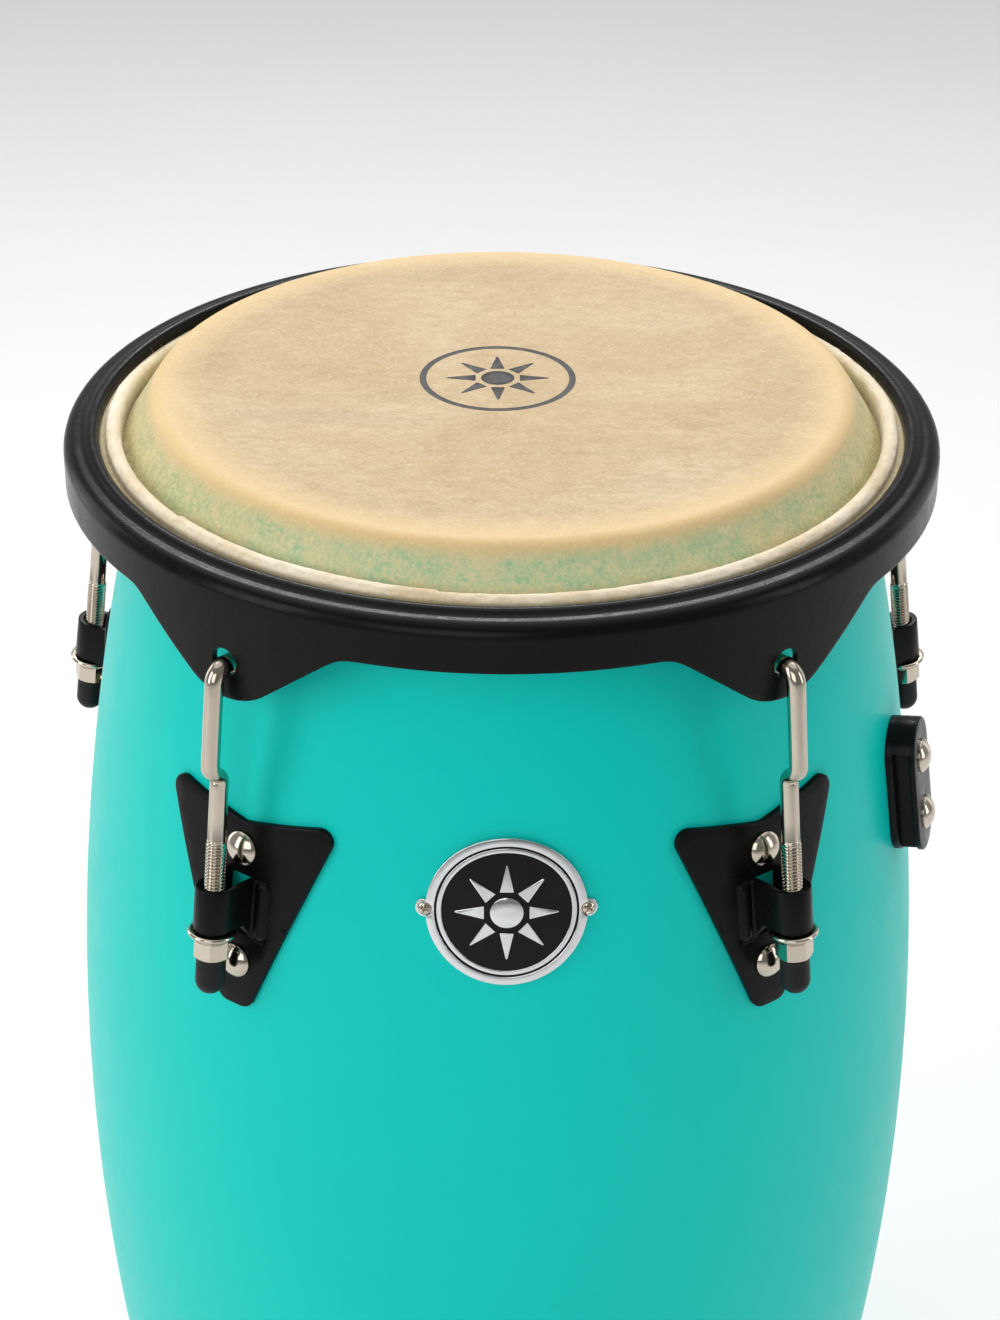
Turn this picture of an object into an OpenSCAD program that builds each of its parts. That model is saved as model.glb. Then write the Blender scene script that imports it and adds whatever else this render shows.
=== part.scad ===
// A conga drum: a barrel-shaped shell, a rawhide head on a flesh hoop, a curved
// counterhoop with hanging ears, and hooked tuning lugs with flange nuts.
// Millimetres. Origin on the floor, on the drum's axis. +Z up, the badge faces -Y.

/* [Drum] */
// Height of the playing surface above the floor
drum_h = 711; // [690:1:740]
// Radius of the shell at the belly
belly_r = 181; // [179:0.5:183]
// Radius of the arc that the staves bend to
stave_bend_r = 1190; // [1150:5:1250]
// Wall thickness of the shell
shell_t = 9.5; // [8:0.5:11]

/* [Head] */
// Thickness of the rawhide
skin_t = 1.6; // [1.2:0.1:1.8]
// Radius of the steel flesh hoop's rod
flesh_rod_r = 4; // [3.5:0.1:4.2]
// Radius of the flesh hoop, to the middle of its rod
flesh_hoop_r = 156.3; // [156:0.1:156.4]

/* [Counterhoop] */
// Outer radius of the counterhoop
rim_r = 173.8; // [173.4:0.1:174.2]
// Thickness of the hoop's steel
rim_t = 3; // [2.5:0.1:3.2]
// Height of the hoop above the tuning nuts, to the highest point of its inner lip
rim_top = 148.3; // [148:0.1:149]
// Radius of the ear's round tip
ear_tip_r = 27.8; // [26:0.1:29]
// Slope of the ear's sides, in degrees
ear_slope = 37.4; // [36:0.1:39]
// Radius of the hole that the lug hooks through
ear_hole_r = 5.4; // [5.2:0.1:5.8]

/* [Tuning lugs] */
// Distance of the lug from the drum's axis at its nut
lug_r = 187.6; // [187:0.1:188.2]
// Lean of the lug, in degrees
lug_lean = 7.2; // [7:0.1:7.4]
// Radius of the plain rod
rod_r = 3.55; // [3.4:0.05:3.6]
// Radius of the 5/16 inch thread
thread_r = 3.95; // [3.9:0.01:3.97]
// Radius of the nut's flange
flange_r = 9.5; // [9:0.1:10]

/* [Side plates] */
// Thickness of the side plate's steel
plate_t = 2.5; // [2:0.1:3]
// Half the width of the side plate
plate_half_w = 38; // [36:0.5:40]
// Height of the loop that the lug passes through
loop_h = 18.1; // [16.5:0.1:19]
// Outer radius of the loop
loop_r = 7.6; // [7.4:0.1:8]

/* [Stand bracket] */
// Length of the bracket
bracket_l = 58.7; // [57:0.1:62]
// Width of the bracket
bracket_w = 28; // [26:0.5:30]
// Thickness of the bracket at its middle
bracket_t = 11.4; // [10.5:0.1:13]
// Distance between the bracket's two bolts
bracket_pitch = 26.4; // [24:0.1:28]

/* [Badge] */
// Diameter of the badge
badge_d = 60; // [56:0.5:62]

/* [Hidden] */
$fn = 96;
arc_fn = 1440;

shell_paint = [0.0, 0.72, 0.68];
black_coat = [0.05, 0.05, 0.05];
rawhide = [0.85, 0.74, 0.55];
nickel = [0.72, 0.69, 0.64];
inside_wood = [0.72, 0.56, 0.38];

// Heights. nut_z is the level that the hardware is measured from.
nut_z = drum_h - 161.5;
belly_z = drum_h - 321.5;
taper_z = belly_z - 230;
base_h = 18;
base_lip = 4;

// Shell
shell_top = drum_h - skin_t;
bearing_r = 5.4;
bearing_z = shell_top - bearing_r;
ring_t = 5;
top_ring_h = 22;
bottom_ring_h = 25;
rubber_out = 2.6;
rubber_in = 2;

// Head
crown_r = bearing_r + skin_t;
hoop_z = nut_z + 139.3;
fold_top = nut_z + 148.6;

// Counterhoop
skirt_z = nut_z + 127.3;
ear_drop = 29.1;
roll_r = 5.5;
nose_r = 3;
hole_z = nut_z + 113.6;

// Lugs
lug_count = 5;
hex_af = 12.7;
offset_y = -5.6;
crimp_z = 69.8;
thread_top = 42;
hook_z = 113.3;
hook_bend = 6;
hook_reach = 3.2;
tail_bend = 5.5;
tail_l = 4;
crimp_bend = 5;
crimp_angle = acos(1 + offset_y / (2 * crimp_bend));
crimp_bottom = crimp_z - crimp_bend * sin(crimp_angle);
crimp_top = crimp_z + crimp_bend * sin(crimp_angle);
nut_seat = 3.6;
flange_t = 2.2;
neck_h = 1.8;
hex_end = 7.8;
nut_gap = 0.4;
thread_gap = 0.05;
cap_r = 5.8;
cap_end = 24;
rod_end = 17;

// Side plates
plate_top = nut_z + 46.8;
plate_notch = nut_z + 40.4;
plate_tip = nut_z - 37.7;
corner_r = 5.5;
tip_w = 3.2;
loop_z = nut_seat + nut_gap;
leg_z = -4.5;
leg_from = 8.8;
leg_to = 15.5;
loop_wall = 2.6;
bolt_dz = [29.5, -18.2];
bolt_head_r = 7;
bolt_r = 3;
seat_gap = 0.02;

// Radius of the shell's outer face, pushed outward by off, at height z.
function wall_r(z, off = 0) =
    z > taper_z
        ? belly_r - stave_bend_r + sqrt(pow(stave_bend_r + off, 2) - pow(z - belly_z, 2))
        : wall_r(taper_z + 0.001, off) - taper * (taper_z - z);
taper = 230 / sqrt(pow(stave_bend_r, 2) - pow(230, 2));
// Lean of the shell's wall from the vertical at height z, in degrees.
function wall_lean(z) = asin((z - belly_z) / stave_bend_r);
function lug_az(k) = -36 + 72 * (k - 1);

// A slice between two offsets of the shell's outer face, from z1 to z2.
module wall_slice_2d(inner, outer, z1, z2) {
    intersection() {
        translate([belly_r - stave_bend_r, belly_z])
            difference() {
                circle(r = stave_bend_r + outer, $fn = arc_fn);
                circle(r = stave_bend_r + inner, $fn = arc_fn);
            }
        translate([60, z1])
            square([belly_r + 40 - 60, z2 - z1]);
    }
}

// The same slice, as a solid of revolution.
module wall_band(inner, outer, z1, z2) {
    rotate_extrude($fn = 360)
        wall_slice_2d(inner, outer, z1, z2);
}

// A straight conical slice below the arc, from z1 to z2.
module taper_slice_2d(inner, outer, z1, z2) {
    polygon([
        [wall_r(z1, inner), z1], [wall_r(z1, outer), z1],
        [wall_r(z2, outer), z2], [wall_r(z2, inner), z2]
    ]);
}

// Children are drawn looking at the drum from outside: X along the surface,
// Y up it and Z out of it. az turns them round the drum.
module on_wall(az, z, out = 0) {
    rotate([0, 0, az])
        translate([0, -wall_r(z, out), z])
            rotate([90 - wall_lean(z), 0, 0])
                children();
}

// Children stand on the lug's own axis: Z up the lug, +Y towards the drum.
module at_lug(k) {
    rotate([0, 0, lug_az(k)])
        translate([0, -lug_r, nut_z])
            rotate([-lug_lean, 0, 0])
                children();
}

// The side plate's loop leans with the plate and the wall behind it.
loop_lean = wall_lean(nut_z + loop_z + loop_h / 2);

module at_loop(k) {
    rotate([0, 0, lug_az(k)])
        translate([0, -lug_r, nut_z])
            rotate([-loop_lean, 0, 0])
                children();
}

module shell_2d() {
    difference() {
        union() {
            wall_slice_2d(-shell_t, 0, taper_z, shell_top);
            taper_slice_2d(-shell_t, 0, base_lip, taper_z);
        }
        bearing_x = wall_r(bearing_z) - bearing_r;
        translate([bearing_x, bearing_z])
            difference() {
                square(2 * bearing_r);
                circle(r = bearing_r);
            }
    }
}

module shell() {
    color(shell_paint)
        difference() {
            rotate_extrude($fn = 360) shell_2d();
            for (k = [1:lug_count], dz = bolt_dz)
                on_wall(lug_az(k), nut_z + dz)
                    cylinder(r = bolt_r + 0.3, h = 60, center = true);
            for (s = [-1, 1])
                on_wall(72, bracket_z + s * bracket_pitch / 2)
                    cylinder(r = bolt_r + 0.3, h = 60, center = true);
            for (s = [-1, 1])
                screw_place(s)
                    cylinder(r = 1.5, h = 20, center = true);
        }
}

module top_reinforcing_ring() {
    color(inside_wood)
        wall_band(-shell_t - ring_t, -shell_t, shell_top - 12 - top_ring_h, shell_top - 12);
}

module bottom_reinforcing_ring() {
    color(inside_wood)
        rotate_extrude($fn = 360)
            taper_slice_2d(-shell_t - ring_t, -shell_t, base_lip, base_lip + bottom_ring_h);
}

base_bore_r = wall_r(base_lip, -shell_t - ring_t) - rubber_in;

module base_rubber_ring() {
    color(black_coat)
        rotate_extrude($fn = 360) {
            translate([base_bore_r, 0])
                square([wall_r(base_lip) + rubber_out - base_bore_r - 1.5, base_lip]);
            translate([0, base_lip])
                polygon([
                    [wall_r(base_lip), -base_lip], [wall_r(base_lip) + rubber_out, 1.5 - base_lip],
                    [wall_r(base_h) + rubber_out - 1, base_h - base_lip],
                    [wall_r(base_h), base_h - base_lip], [wall_r(base_lip), 0]
                ]);
        }
}

// The side plate's outline: two upper lobes whose straight edges meet in a
// shallow notch, and a wider lower tip.
module plate_2d(top, dip, tip) {
    lobe_x = plate_half_w - corner_r;
    offset(r = corner_r, $fn = 48)
        polygon([
            [lobe_x, top - corner_r],
            [0, dip - 1.02 * corner_r],
            [-lobe_x, top - corner_r],
            [-tip_w, tip + corner_r],
            [tip_w, tip + corner_r]
        ]);
}

// The loop's block, drawn on its own axis and grown by g: a round front, and
// legs that reach back to the wall, where they run lower.
module loop_block(r, g) {
    top = loop_z + loop_h + g;
    intersection() {
        translate([0, 0, -30]) {
            cylinder(r = r, h = 80);
            translate([-r, 0, 0]) cube([2 * r, 40, 80]);
        }
        rotate([90, 0, 90])
            translate([0, 0, -20])
                linear_extrude(height = 40)
                    polygon([
                        [-15, loop_z - g], [leg_from, loop_z - g], [leg_to, leg_z - g],
                        [45, leg_z - g], [45, top], [-15, top]
                    ]);
    }
}

module side_plate(k) {
    color(black_coat)
        difference() {
            union() {
                intersection() {
                    wall_band(seat_gap, plate_t, plate_tip - 4, plate_top + 8);
                    plate_block(k)
                        plate_2d(plate_top - nut_z, plate_notch - nut_z, plate_tip - nut_z);
                }
                difference() {
                    at_loop(k) loop_block(loop_r, 0);
                    wall_band(-60, seat_gap, plate_tip - 4, plate_top + 8);
                }
            }
            at_loop(k) loop_block(loop_r - loop_wall, 0.6);
            for (dz = bolt_dz)
                on_wall(lug_az(k), nut_z + dz)
                    cylinder(r = bolt_r + 0.05, h = 20, center = true);
        }
}

// A block in the radial direction with the given outline, at a lug's azimuth.
module plate_block(k) {
    rotate([0, 0, lug_az(k)])
        translate([0, -belly_r - 20, nut_z])
            rotate([90, 0, 0])
                mirror([0, 0, 1])
                    linear_extrude(height = 70)
                        children();
}

module backing_plate(k) {
    color(nickel)
        difference() {
            intersection() {
                wall_band(-shell_t - 2, -shell_t - seat_gap, nut_z - 40, nut_z + 50);
                plate_block(k)
                    translate([-12, -31])
                        square([24, 72]);
            }
            for (dz = bolt_dz)
                on_wall(lug_az(k), nut_z + dz)
                    cylinder(r = bolt_r + 0.05, h = 60, center = true);
        }
}

// A carriage bolt through the wall: a domed head on top of its seat, at height out.
module dome_bolt(out, length) {
    dome_r = 1.35 * bolt_head_r;
    dome_h = dome_r - sqrt(dome_r * dome_r - bolt_head_r * bolt_head_r);
    translate([0, 0, out])
        intersection() {
            translate([0, 0, dome_h + 0.6 - dome_r]) sphere(r = dome_r);
            cylinder(r = bolt_head_r, h = 10);
        }
    translate([0, 0, out - length])
        cylinder(r = bolt_r, h = length + 0.5);
}

plate_bolt_l = shell_t + plate_t + 2 + 8.5;
washer_t = 1;
nut_t = 5;

module side_plate_bolts() {
    color(nickel)
        for (k = [1:lug_count], dz = bolt_dz)
            on_wall(lug_az(k), nut_z + dz)
                dome_bolt(plate_t + 0.15, plate_bolt_l);
}

module side_plate_washers() {
    color(nickel)
        for (k = [1:lug_count], dz = bolt_dz)
            on_wall(lug_az(k), nut_z + dz)
                translate([0, 0, -shell_t - 2.4 - washer_t])
                    ring(7, bolt_r + 0.05, washer_t);
}

module side_plate_nuts() {
    color(nickel)
        for (k = [1:lug_count], dz = bolt_dz)
            on_wall(lug_az(k), nut_z + dz)
                translate([0, 0, -shell_t - 2.4 - washer_t - nut_t])
                    hex_nut(11.1, bolt_r + 0.01, nut_t);
}

module ring(outer, inner, h) {
    difference() {
        cylinder(r = outer, h = h);
        translate([0, 0, -1]) cylinder(r = inner, h = h + 2);
    }
}

module hex_nut(af, bore, h) {
    difference() {
        cylinder(r = af / sqrt(3), h = h, $fn = 6);
        translate([0, 0, -1]) cylinder(r = bore, h = h + 2);
    }
}

// The stand bracket: a block with round ends, and a groove in each long side
// that is open at the bottom, where the stand's fork slides in.
bracket_z = nut_z + 6.7;
groove_w = 6.5;
groove_d = 5.5;
groove_top = 20.5;
groove_out = 2.5;

module bracket_outline() {
    straight = bracket_l / 2 - bracket_w / 2;
    for (s = [-1, 1])
        translate([0, s * straight])
            circle(r = bracket_w / 2);
    square([bracket_w, 2 * straight], center = true);
}

module stand_bracket() {
    color(black_coat)
        difference() {
            on_wall(72, bracket_z)
                difference() {
                    translate([0, 0, -4])
                        linear_extrude(height = bracket_t + 4)
                            bracket_outline();
                    for (s = [-1, 1])
                        translate([s * bracket_w / 2, groove_top - 50, groove_out + groove_w / 2])
                            cube([2 * groove_d, 100, groove_w], center = true);
                    for (s = [-1, 1])
                        translate([0, s * bracket_pitch / 2, -10])
                            cylinder(r = bolt_r + 0.05, h = 40);
                }
            wall_band(-40, seat_gap, nut_z - 40, nut_z + 60);
        }
}

module bracket_backing_plate() {
    color(nickel)
        difference() {
            intersection() {
                wall_band(-shell_t - 2, -shell_t - seat_gap, nut_z - 40, nut_z + 60);
                on_wall(72, bracket_z)
                    cube([26, 56, 60], center = true);
            }
            for (s = [-1, 1])
                bracket_bolt_place(s)
                    cylinder(r = bolt_r + 0.05, h = 60, center = true);
        }
}

module bracket_bolt_place(s) {
    on_wall(72, bracket_z)
        translate([0, s * bracket_pitch / 2, 0])
            children();
}

module bracket_bolts() {
    color(nickel)
        for (s = [-1, 1])
            bracket_bolt_place(s)
                dome_bolt(bracket_t + 0.02, bracket_t + shell_t + 11.2);
}

module bracket_nuts() {
    color(nickel)
        for (s = [-1, 1])
            bracket_bolt_place(s)
                translate([0, 0, -shell_t - 2.5 - nut_t])
                    hex_nut(11.1, bolt_r + 0.01, nut_t);
}

// The badge is curved to the shell: each layer is a slice of the wall.
badge_az = 0.3;
badge_z = nut_z + 22.6;
badge_ear_x = badge_d / 2 + 0.2;
badge_t = 2.4;
badge_base_t = 1.2;
badge_rim_w = 3.3;
screw_seat = badge_base_t + 0.05;

module badge_place() {
    on_wall(badge_az, badge_z) children();
}

// Each screw stands square to the wall at its own place.
module screw_place(s) {
    on_wall(badge_az + s * asin(badge_ear_x / wall_r(badge_z)), badge_z) children();
}

module badge_layer(inner, outer) {
    intersection() {
        wall_band(inner, outer, badge_z - 40, badge_z + 40);
        badge_place()
            translate([0, 0, -15])
                linear_extrude(height = 30)
                    children();
    }
}

module badge_ring() {
    color(nickel)
        difference() {
            union() {
                badge_layer(seat_gap, badge_t) circle(d = badge_d);
                badge_layer(seat_gap, badge_base_t)
                    for (s = [-1, 1])
                        translate([s * badge_ear_x, 0]) circle(r = 3.8);
            }
            badge_layer(badge_base_t, badge_t + 1) circle(d = badge_d - 2 * badge_rim_w);
            for (s = [-1, 1])
                screw_place(s) {
                    cylinder(r = 1.25, h = 20, center = true);
                    translate([0, 0, screw_seat - 0.03]) cylinder(r = 3, h = 5);
                }
        }
}

module badge_field() {
    color(black_coat)
        badge_layer(badge_base_t + seat_gap, 1.9) circle(d = badge_d - 2 * badge_rim_w - 0.2);
}

// A plain eight-rayed sun inside a thin ring.
module sun_2d(r) {
    circle(r = 0.3 * r);
    for (i = [0:7])
        rotate(45 * i)
            polygon([[0.38 * r, -0.13 * r], [r, 0], [0.38 * r, 0.13 * r]]);
}

module badge_emblem() {
    color(nickel)
        badge_layer(1.9 + seat_gap, 2.5) {
            difference() {
                circle(d = badge_d - 8.2);
                circle(d = badge_d - 11.8);
            }
            sun_2d(badge_d / 2 - 9);
        }
}

module badge_screws() {
    color(nickel)
        for (s = [-1, 1])
            screw_place(s)
                badge_screw(screw_seat);
}

module badge_screw(seat) {
    difference() {
        translate([0, 0, seat])
            intersection() {
                translate([0, 0, -1.45]) sphere(r = 3.1);
                cylinder(r = 2.7, h = 4);
            }
        for (a = [0, 90])
            rotate(a)
                translate([0, 0, seat + 1.6])
                    cube([3, 0.6, 1.6], center = true);
    }
    translate([0, 0, seat - 8])
        cylinder(r = 1.2, h = 8.3);
}

// The head: one piece of rawhide in three nodes. The playing surface turns over
// the bearing edge; the collar runs down inside the flesh hoop; the fold wraps it.
crown_x = wall_r(bearing_z) - bearing_r;
hoop_dx = flesh_hoop_r - crown_x;
hoop_dz = hoop_z - bearing_z;
hoop_dist = sqrt(hoop_dx * hoop_dx + hoop_dz * hoop_dz);
// Direction of the outer face of the collar, which is tangent to the crown and
// to the flesh hoop on opposite sides, and the angle of its normal.
collar_dir = atan2(hoop_dz, hoop_dx) - asin((crown_r + flesh_rod_r) / hoop_dist);
collar_n = collar_dir + 90;
function on_crown(r) = [crown_x + r * cos(collar_n), bearing_z + r * sin(collar_n)];
function on_hoop(r) = [flesh_hoop_r - r * cos(collar_n), hoop_z - r * sin(collar_n)];
seam_gap = 0.3;

// The part of the crown's arc between the top and the collar's normal.
module crown_sector(r) {
    polygon([[0, 0], [0, r], [r, r], [r, r * tan(collar_n)]]);
}

module head_membrane() {
    color(rawhide)
        rotate_extrude($fn = 360) {
            translate([0, shell_top + seat_gap])
                square([crown_x, skin_t - seat_gap]);
            translate([crown_x, bearing_z])
                intersection() {
                    difference() {
                        circle(r = crown_r);
                        circle(r = bearing_r + seat_gap);
                    }
                    crown_sector(2 * crown_r);
                }
        }
}

module head_collar() {
    along = [cos(collar_dir), sin(collar_dir)];
    start_out = on_crown(crown_r) + seam_gap * along;
    start_in = on_crown(bearing_r) + seam_gap * along;
    end_out = on_hoop(flesh_rod_r) - seam_gap * along;
    end_in = on_hoop(flesh_rod_r + skin_t) - seam_gap * along;
    color(rawhide)
        rotate_extrude($fn = 360)
            polygon([start_in, start_out, end_out, end_in]);
}

module head_fold() {
    wrap_r = flesh_rod_r + skin_t;
    band_in = flesh_hoop_r - 5.4;
    band_w = 6.3;
    edge_r = 2;
    color(rawhide)
        rotate_extrude($fn = 360)
            difference() {
                union() {
                    translate([flesh_hoop_r, hoop_z]) circle(r = wrap_r);
                    translate([band_in, hoop_z + 0.5])
                        square([band_w, fold_top - hoop_z - 0.5 - edge_r]);
                    for (x = [band_in + edge_r, band_in + band_w - edge_r])
                        translate([x, fold_top - edge_r]) circle(r = edge_r);
                    translate([band_in + edge_r, fold_top - 3])
                        square([band_w - 2 * edge_r, 3]);
                }
                translate([flesh_hoop_r, hoop_z]) {
                    circle(r = flesh_rod_r + seat_gap);
                    rotate(collar_dir)
                        translate([-20, -wrap_r - 1.4])
                            square([20, skin_t + 1.7]);
                }
            }
}

module flesh_hoop() {
    color(nickel)
        rotate_extrude($fn = 360)
            translate([flesh_hoop_r, hoop_z])
                circle(r = flesh_rod_r);
}

// The counterhoop's section: a skirt, an outer roll, a rise and an inner lip.
roll_x = rim_r - roll_r;
roll_z = nut_z + 140.9;
nose_x = 162.6;
nose_z = nut_z + rim_top - nose_r;

module rim_2d() {
    translate([rim_r - rim_t, skirt_z])
        square([rim_t, roll_z - skirt_z]);
    translate([roll_x, roll_z])
        difference() {
            circle(r = roll_r);
            circle(r = roll_r - rim_t);
            translate([-50, -50]) square([100, 50]);
            translate([-50, -50]) square([50, 100]);
        }
    polygon([
        [roll_x, roll_z + roll_r - rim_t], [roll_x, roll_z + roll_r],
        [nose_x + 1, nose_z + 2.8], [nose_x, nose_z + 1], [nose_x, nose_z - 1.2]
    ]);
    translate([nose_x, nose_z]) circle(r = nose_r);
}

// One ear's outline, with the skirt's lower edge at y = 0 and its tip below.
module ear_2d() {
    centre = ear_tip_r - ear_drop;
    touch_x = ear_tip_r * sin(ear_slope);
    touch_y = centre - ear_tip_r * cos(ear_slope);
    top_x = touch_x - touch_y / tan(ear_slope);
    intersection() {
        translate([0, centre]) circle(r = ear_tip_r);
        translate([-touch_x, -60]) square([2 * touch_x, 60.5]);
    }
    polygon([
        [-top_x, 0], [-top_x, 0.5], [top_x, 0.5], [top_x, 0],
        [touch_x, touch_y], [-touch_x, touch_y]
    ]);
}

module ear(az) {
    intersection() {
        difference() {
            translate([0, 0, skirt_z - 40])
                cylinder(r = rim_r, h = 40.4, $fn = 360);
            translate([0, 0, skirt_z - 41])
                cylinder(r = rim_r - rim_t, h = 43, $fn = 360);
        }
        rotate([0, 0, az])
            translate([0, -rim_r - 10, skirt_z])
                rotate([90, 0, 0])
                    mirror([0, 0, 1])
                        linear_extrude(height = 60)
                            ear_2d();
    }
}

module rim() {
    color(black_coat)
        difference() {
            union() {
                rotate_extrude($fn = 360) rim_2d();
                for (k = [1:lug_count]) ear(lug_az(k));
            }
            for (k = [1:lug_count])
                rotate([0, 0, lug_az(k)])
                    translate([0, -rim_r - 10, hole_z])
                        rotate([-90, 0, 0])
                            cylinder(r = ear_hole_r, h = 20);
        }
}

// Part of a turn of the rod, in the XY plane, starting on +X.
module rod_bend(radius, angle = 90) {
    rotate_extrude(angle = angle)
        translate([radius, 0]) circle(r = rod_r);
}

// A hooked lug, drawn on its own axis.
module lug(k) {
    $fn = 72;
    upper = hook_z - hook_bend;
    color(nickel)
        at_lug(k) {
            translate([0, 0, -rod_end]) cylinder(r = thread_r, h = rod_end + thread_top);
            translate([0, 0, thread_top]) cylinder(r = rod_r, h = crimp_bottom - thread_top);
            crimp();
            translate([0, offset_y, crimp_top]) cylinder(r = rod_r, h = upper - crimp_top);
            translate([0, offset_y + hook_bend, upper])
                rotate([90, 0, -90]) rod_bend(hook_bend);
            translate([0, offset_y + hook_bend, hook_z])
                rotate([-90, 0, 0]) cylinder(r = rod_r, h = hook_reach);
            translate([0, offset_y + hook_bend + hook_reach, hook_z])
                hook_tail();
        }
}

// Two opposite bends step the upper rod outward by its offset. They meet in a
// pressed bulge.
module crimp() {
    bend = crimp_angle - 3;
    translate([0, -crimp_bend, crimp_bottom])
        rotate([90, 0, 90]) rod_bend(crimp_bend, bend);
    translate([0, offset_y + crimp_bend, crimp_top])
        rotate([-90, 0, -90]) rod_bend(crimp_bend, bend);
    translate([0, offset_y / 2, crimp_z]) sphere(r = rod_r + 0.3);
}

// Behind the ear the rod turns down and ends.
module hook_tail() {
    translate([0, 0, -tail_bend])
        rotate([0, -90, 0]) rod_bend(tail_bend);
    translate([0, tail_bend, -tail_bend - tail_l])
        cylinder(r = rod_r, h = tail_l);
}

module nut(k) {
    flange_z = nut_seat - flange_t;
    color(nickel)
        at_lug(k)
            difference() {
                union() {
                    translate([0, 0, flange_z])
                        cylinder(r = flange_r, h = flange_t);
                    translate([0, 0, flange_z - neck_h])
                        cylinder(r1 = hex_af / 2 + 0.6, r2 = flange_r, h = neck_h + 0.01);
                    translate([0, 0, -hex_end])
                        cylinder(r = hex_af / sqrt(3), h = hex_end + flange_z, $fn = 6);
                }
                translate([0, 0, -20]) cylinder(r = thread_r + thread_gap, h = 30);
            }
}

module nut_cap(k) {
    color(black_coat)
        at_lug(k)
            difference() {
                union() {
                    translate([0, 0, -cap_end + cap_r])
                        cylinder(r = cap_r, h = cap_end - cap_r - hex_end - seat_gap);
                    translate([0, 0, -cap_end + cap_r]) sphere(r = cap_r);
                }
                translate([0, 0, -rod_end - 5]) cylinder(r = thread_r + thread_gap, h = 30);
            }
}

shell();
top_reinforcing_ring();
bottom_reinforcing_ring();
base_rubber_ring();
for (k = [1:lug_count]) {
    side_plate(k);
    backing_plate(k);
    lug(k);
    nut(k);
    nut_cap(k);
}
side_plate_bolts();
side_plate_washers();
side_plate_nuts();
stand_bracket();
bracket_backing_plate();
bracket_bolts();
bracket_nuts();
badge_ring();
badge_field();
badge_emblem();
badge_screws();
head_membrane();
head_collar();
head_fold();
flesh_hoop();
rim();
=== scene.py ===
import math
import random

import bpy
from mathutils import Matrix, Vector, noise
from mathutils.geometry import delaunay_2d_cdt


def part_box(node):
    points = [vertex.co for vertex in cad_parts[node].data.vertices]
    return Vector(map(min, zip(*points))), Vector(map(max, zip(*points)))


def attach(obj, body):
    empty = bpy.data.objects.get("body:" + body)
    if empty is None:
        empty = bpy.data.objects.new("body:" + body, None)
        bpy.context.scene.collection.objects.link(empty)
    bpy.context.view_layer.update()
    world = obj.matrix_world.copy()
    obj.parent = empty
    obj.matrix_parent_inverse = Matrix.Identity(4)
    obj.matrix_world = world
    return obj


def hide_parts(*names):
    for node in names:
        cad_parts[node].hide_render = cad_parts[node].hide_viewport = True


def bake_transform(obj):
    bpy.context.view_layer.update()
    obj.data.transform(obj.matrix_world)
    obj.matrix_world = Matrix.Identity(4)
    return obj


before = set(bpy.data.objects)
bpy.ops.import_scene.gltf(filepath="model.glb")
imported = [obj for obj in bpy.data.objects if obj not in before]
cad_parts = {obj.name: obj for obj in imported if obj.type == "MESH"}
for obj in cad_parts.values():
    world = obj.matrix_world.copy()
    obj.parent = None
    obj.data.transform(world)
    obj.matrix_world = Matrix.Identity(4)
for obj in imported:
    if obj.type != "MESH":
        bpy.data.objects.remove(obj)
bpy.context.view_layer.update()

# Lengths are written in millimetres and turned into metres by MM.
MM = 0.001
SHELL = "shell_body"
HOOP = "tuning_hoop"

# ---- Driving sizes, as the CAD frame has them -------------------------------------------
HEAD_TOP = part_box("head_membrane")[1].z / MM
NUT_Z = HEAD_TOP - 161.5
BELLY_Z = HEAD_TOP - 321.5
TAPER_DROP = 230.0
TAPER_Z = BELLY_Z - TAPER_DROP
BELLY_R = 181.0
STAVE_BEND_R = 1190.0
SHELL_T = 9.5
SKIN_T = 1.6
BEARING_R = 5.4
RIM_R = 173.8
RIM_T = 3.0
LUG_R = 187.6
LUG_LEAN = math.radians(7.2)
LUG_AZIMUTHS = {k: math.radians(-36 + 72 * (k - 1)) for k in range(1, 6)}
RAW_EDGE_H = 148.6
BOLT_HEIGHTS = (29.5, -18.2)
BRACKET_AZ = math.radians(72)


# ---- Geometry helpers ---------------------------------------------------------------------
def wall_r(z, off=0.0):
    """Radius of the shell's outer face, pushed out by off, at height z."""
    if z > TAPER_Z:
        bend = STAVE_BEND_R + off
        return BELLY_R - STAVE_BEND_R + math.sqrt(bend * bend - (z - BELLY_Z) ** 2)
    slope = TAPER_DROP / math.sqrt(STAVE_BEND_R**2 - TAPER_DROP**2)
    return wall_r(TAPER_Z + 0.001, off) - slope * (TAPER_Z - z)


def wall_lean(z):
    """How far the wall leans in at height z, as an angle."""
    return math.asin((z - BELLY_Z) / STAVE_BEND_R)


def turned(az):
    """A turn about the drum's axis."""
    return Matrix.Rotation(az, 4, "Z")


def wall_place(az, z):
    """X along the wall, Y up it and Z out of it, at azimuth az and height z."""
    return (
        turned(az)
        @ Matrix.Translation((0, -wall_r(z), z))
        @ Matrix.Rotation(math.pi / 2 - wall_lean(z), 4, "X")
    )


def lug_place(k):
    """Z up the lug's own axis and Y towards the drum."""
    return leaning_place(k, LUG_LEAN)


def leaning_place(k, lean):
    """The frame at the nut's seat of lug k, leaning in by an angle."""
    return (
        turned(LUG_AZIMUTHS[k])
        @ Matrix.Translation((0, -LUG_R, NUT_Z))
        @ Matrix.Rotation(-lean, 4, "X")
    )


def wrap(az, s, z, out):
    """The point s along the wall from azimuth az, at height z, out from the wall's face."""
    r = wall_r(z)
    lean = wall_lean(z)
    a = az + s / r
    radius = r + out * math.cos(lean)
    return Vector((radius * math.sin(a), -radius * math.cos(a), z + out * math.sin(lean)))


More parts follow.
